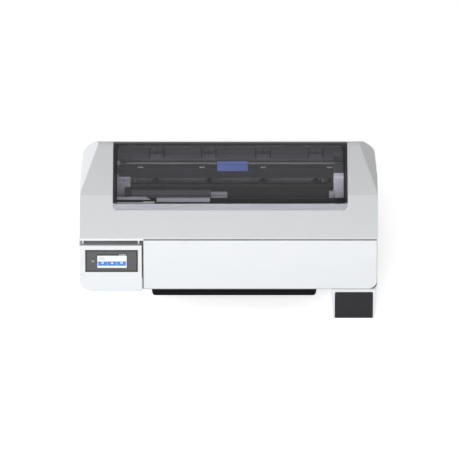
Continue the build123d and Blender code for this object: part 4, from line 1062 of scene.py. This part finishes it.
@dataclass
class BayCarrier:
    """The dark carrier at the left of the bay with its leg, its pale plate, white lip and long strip."""

    bench: Bench
    from_rail: Way = (-0.048, -0.036, 0.0155)
    bar: Slab = Slab("bay_carrier", (0.0, -0.005), (0.003, 0.0235), (-0.0085, -0.0055), 0.0006)
    leg: Slab = Slab("carrier_leg", (0.0484, 0.057), (0.02, 0.046), (-0.0157, -0.0056), 0.0008)
    rise: Slab = Slab("carrier_rise", (0.0, 0.108), (-0.004, 0.023), (-0.006, -0.0018), 0.0006)
    plate: Slab = Slab("bay_plate", (0.0, 0.132), (0.0095, 0.0245), (-0.002, 0.0), 0.0005)
    plate_slant: float = 1.1
    plate_straight: float = 0.098
    lip: Slab = Slab("bay_lip", (0.0, 0.146), (-0.0085, 0.0008), (-0.0045, -0.002), 0.0006)
    strip: Slab = Slab("bay_strip", (0.152, -0.0028), (0.0015, 0.0245), (-0.0056, -0.0035), 0.0004)

    def build(self) -> None:
        """Model the carrier and the sheets it bears, as far as the parked cutter."""
        start = top_front("cutter_rail")[0] + Vector(self.from_rail)
        by_cutter = Vector((frame_box("paper_cutter")[0].x, start.y, start.z))
        frame_parts = [self.bench.slab(self.bar, start, by_cutter), self.bench.slab(self.leg, start),
                       self.bench.slab(self.rise, start)]
        self.bench.finish(self.bench.join("bay_carrier", frame_parts), "chassis", "black_plastic")
        plate = self.bench.slab(self.plate, start)
        for vertex in plate.data.vertices:
            if vertex.co.x > start.x + self.plate_straight:
                vertex.co.x -= (vertex.co.y - start.y - self.plate.along[0]) * self.plate_slant
        self.bench.sink(plate, UP, border=0.0015, depth=0.0003)
        self.bench.finish(plate, "chassis", "light_plastic", "bay_pale")
        self.bench.finish(self.bench.slab(self.lip, start), "chassis", "white_shell")
        strip = self.bench.slab(self.strip, start, by_cutter)
        self.bench.sink(strip, UP, border=0.0012, depth=0.0003)
        self.bench.finish(strip, "chassis", "light_plastic", "bay_pale")


@dataclass
class BracketClips:
    """The dark H-shaped clip of a pinch-roller bracket, modelled once and copied onto each bracket."""

    bench: Bench
    middles: tuple[float, ...] = (-0.2365, -0.0659, 0.1115, 0.2845)
    half: float = 0.0235
    inset: float = 0.004
    side_half: float = 0.0016
    bar_half: float = 0.0012
    bar_offset: float = 0.00365
    spine_half: float = 0.001
    spine_front: float = -0.015
    tall: Span = (-0.0004, 0.001)
    edge: float = 0.0003

    def build(self) -> None:
        """Model the clip from its five rods and copy it."""
        low, high = frame_box("pinch_brackets")
        reach = (high.y - low.y) / 2 - self.inset
        rods = [((across - self.side_half, across + self.side_half), (-reach, reach))
                for across in (-self.half, self.half)]
        rods.extend(((-self.half, self.half), (along - self.bar_half, along + self.bar_half))
                    for along in (-self.bar_offset, self.bar_offset))
        rods.append(((-self.spine_half, self.spine_half), (self.spine_front, reach)))
        parts = [self.bench.slab(Slab("clip_rod", across, along, self.tall, self.edge), Vector())
                 for across, along in rods]
        middle = (low.y + high.y) / 2
        places = [Vector((across, middle, high.z)) for across in self.middles]
        clips = self.bench.copies("bracket_clips", self.bench.join("clip", parts), places)
        self.bench.finish(clips, "chassis", "black_plastic")


@dataclass
class PrintBay:
    """The smaller pieces that show through the tinted cover."""

    bench: Bench
    shelf_top: Slab = Slab("beam_shelf", (0.072, -0.124), (-0.035, 0.0008), (-0.0017, -0.0003), 0.0002)
    shelf_lip: Slab = Slab("shelf_lip", (0.072, -0.124), (-0.0352, -0.034), (-0.008, -0.0003), 0.0002)
    web: Slab = Slab("handle_web", (0.0045, -0.0037), (0.0002, 0.0), (-0.0006, 0.0046), 0.0003)
    lip: Slab = Slab("handle_lip", (0.0045, -0.0037), (0.0002, 0.0165), (0.0024, 0.0046), 0.0006)
    inlay: Slab = Slab("platen_inlay", (0.022, 0.282), (0.036, 0.076), (-0.0002, 0.0005), 0.0002)
    stop: Slab = Slab("cutter_stop", (-0.008, 0.008), (0.003, 0.024), (-0.0002, 0.0155), 0.0012)
    guide: Slab = Slab("belt_guide", (-0.009, 0.009), (-0.0006, 0.006), (0.0, -0.0006), 0.0015)
    guide_middles: tuple[float, ...] = (-0.289, -0.0876, 0.1123, 0.3294)
    rib: Slab = Slab("platen_rib", (-0.0012, 0.0012), (0.006, 0.026), (-0.0001, 0.0011), 0.0004)
    rib_count: int = 24
    rib_inset: float = 0.02

    def shelf(self) -> None:
        """Model the grey shelf in front of the upper beam, with its turned-down front edge."""
        left, right = top_front("ridge_beam")
        parts = [self.bench.slab(shape, left, right) for shape in (self.shelf_top, self.shelf_lip)]
        self.bench.finish(self.bench.join("beam_shelf", parts), "chassis", "dark_steel", "beam_grey")

    def handle_lip(self) -> None:
        """Model the finger lip folded back over the release handle's top."""
        start, end = top_front("release_handle")[0], frame_box("release_handle")[1]
        parts = [self.bench.slab(shape, start, end) for shape in (self.web, self.lip)]
        self.bench.finish(self.bench.join("handle_lip", parts), "release_handle", "blue_plastic")

    def platen_plate(self) -> None:
        """Model the thin pale plate laid into the left part of the platen."""
        plate = self.bench.slab(self.inlay, top_front("platen")[0])
        self.bench.finish(plate, "chassis", "steel", "inlay_grey")

    def end_stop(self) -> None:
        """Model the cutter's stop block at the right end of its rail."""
        stop = self.bench.slab(self.stop, top_front("cutter_rail")[1])
        self.bench.sink(stop, TO_FRONT, border=0.003, depth=0.001)
        self.bench.finish(stop, "chassis", "light_plastic")

    def guides(self) -> None:
        """Model one pale belt guide and copy it to its four places on the carriage rail."""
        top = frame_box("carriage_rail")[1].z
        belt = frame_box("carriage_belt")[0]
        guide = self.bench.slab(self.guide, Vector(), Vector((0, 0, belt.z - top)))
        places = [Vector((across, belt.y, top)) for across in self.guide_middles]
        self.bench.finish(self.bench.copies("belt_guides", guide, places), "chassis", "light_plastic")

    def ribs(self) -> None:
        """Model one of the low ribs that the paper slides on and copy it along the platen."""
        left, right = top_front("platen")
        pitch = (right.x - left.x - 2 * self.rib_inset) / (self.rib_count - 1)
        places = [left + Vector((self.rib_inset + index * pitch, 0, 0)) for index in range(self.rib_count)]
        ribs = self.bench.copies("platen_ribs", self.bench.slab(self.rib, Vector()), places)
        self.bench.finish(ribs, "chassis", "grey_plastic")

    def build(self) -> None:
        """Model every piece of the bay."""
        BayCarrier(self.bench).build()
        self.shelf()
        self.handle_lip()
        self.platen_plate()
        self.end_stop()
        BracketClips(self.bench).build()
        self.guides()
        self.ribs()


@dataclass
class GapShadowStrip:
    """A dark strip in the gap over the front cover, which the printer's top carries: painted shadow that
    darkens the gap.
    """

    bench: Bench
    # Black strip behind the gap: painted shadow for the dark line over the front cover.
    strip: Slab = Slab("front_gap_painted_shadow", (0.001, -0.001), (0.0001, 0.0028), (0.0003, 0.0044), 0.0002)

    def build(self) -> None:
        """Model the dark strip of painted shadow, with a groove along its front."""
        shadow_strip = self.bench.slab(self.strip, *top_front("front_cover"))
        self.bench.sink(shadow_strip, TO_FRONT, border=0.0005, depth=0.0003)
        self.bench.finish(shadow_strip, "chassis", "black_plastic")


@dataclass(frozen=True)
class Lamp:
    """One soft square lamp: where it hangs, its side in metres and its power in watts."""

    name: str
    place: Way
    size: float
    power: float


@dataclass
class Studio:
    """A pale floor, soft lamps and the camera at the photograph's angle."""

    elevation: float = 35.0
    distance: float = 49.9
    lens: float = 1200.0
    sensor: float = 36.0
    clip_end: float = 100.0
    target: Way = (0.0003, 0.0, 0.0698)
    aim: Way = (0.0, 0.0, 0.08)
    lamps: tuple[Lamp, ...] = (
        Lamp("key_lamp", (-0.3, -4.8, 2.7), 2.4, 176.0),
        Lamp("side_lamp", (-2.8, 0.2, 0.5), 1.0, 40.0),
        Lamp("top_lamp", (0.1, -1.5, 2.9), 1.6, 20.0))
    sky: float = 0.23
    floor_size: float = 60.0
    floor_gap: float = 0.0005
    floor_glow: float = 0.62
    floor_rough: float = 0.9
    floor_colour: Colour = (0.82, 0.82, 0.83)

    def white_to_camera(self, wiring: Wiring) -> Socket:
        """Give a mask that is 1 for what the camera sees directly, in gloss or through the sheet.

        Args:
            wiring: the wiring of the tree being built.

        Returns:
            The mask socket.
        """
        light = wiring.add("LightPath")
        seen = wiring.math("MAXIMUM", light.outputs["Is Camera Ray"], light.outputs["Is Glossy Ray"])
        return wiring.math("MAXIMUM", seen, light.outputs["Is Transmission Ray"])

    def world(self) -> None:
        """Light the scene evenly, with a white backdrop for the camera."""
        world = bpy.data.worlds.new("studio_air")
        bpy.context.scene.world = world
        world.use_nodes = True
        wiring = Wiring(world.node_tree)
        wiring.tree.nodes.clear()
        back, out = wiring.add("Background"), wiring.add("OutputWorld")
        strength = wiring.ramp(self.white_to_camera(wiring), self.sky, 1.0)
        wiring.give(back.inputs["Strength"], strength)
        wiring.give(back.inputs["Color"], WHITE)
        wiring.give(out.inputs["Surface"], back.outputs[0])

    def floor(self) -> None:
        """Lay a pale floor just under the object."""
        height = CAD_BOX[0][2] - self.floor_gap
        bpy.ops.mesh.primitive_plane_add(size=self.floor_size, location=(0, 0, height))
        plane = bpy.context.object
        plane.name = "studio_floor"
        paint = Paint("studio_floor")
        paint.feed("Base Color", (*self.floor_colour, 1.0))
        paint.feed("Roughness", self.floor_rough)
        strength = paint.math("MULTIPLY", self.white_to_camera(paint), self.floor_glow)
        paint.feed("Emission Strength", strength)
        paint.feed("Emission Color", WHITE)
        plane.data.materials.append(paint.material)

    def hang(self, lamp: Lamp) -> None:
        """Hang one soft lamp that looks at the object.

        Args:
            lamp: the lamp's settings.
        """
        bpy.ops.object.light_add(type="AREA", location=lamp.place)
        made = bpy.context.object
        made.name = lamp.name
        made.data.energy = lamp.power
        made.data.size = lamp.size
        towards = Vector(self.aim) - Vector(lamp.place)
        made.rotation_euler = towards.to_track_quat("-Z", "Y").to_euler()

    def camera(self) -> None:
        """Set the camera at the photograph's viewing angle."""
        angle = math.radians(self.elevation)
        away = Vector((0.0, -math.cos(angle), math.sin(angle))) * self.distance
        bpy.ops.object.camera_add(location=Vector(self.target) + away,
                                  rotation=(math.radians(90) - angle, 0.0, 0.0))
        camera = bpy.context.object
        camera.name = "photo_camera"
        camera.data.lens = self.lens
        camera.data.sensor_width = self.sensor
        camera.data.sensor_height = self.sensor
        camera.data.sensor_fit = "AUTO"
        camera.data.clip_end = self.clip_end
        bpy.context.scene.camera = camera

    def build(self) -> None:
        """Set up air, floor, lamps and camera."""
        bpy.context.scene.view_settings.view_transform = "Standard"
        self.world()
        self.floor()
        for lamp in self.lamps:
            self.hang(lamp)
        self.camera()
        LOG.info("studio ready")


def main() -> None:
    """Dress the printer and set the studio up."""
    logging.basicConfig(level=logging.INFO, format="%(name)s: %(message)s")
    finishes = Finishes()
    finishes.build()
    finishes.dress_nodes()
    bench = Bench(finishes)
    PanelFittings(bench).build()
    PrintBay(bench).build()
    GapShadowStrip(bench).build()
    ScrewSet(bench).build()
    Studio().build()


if __name__ == "__main__":
    main()
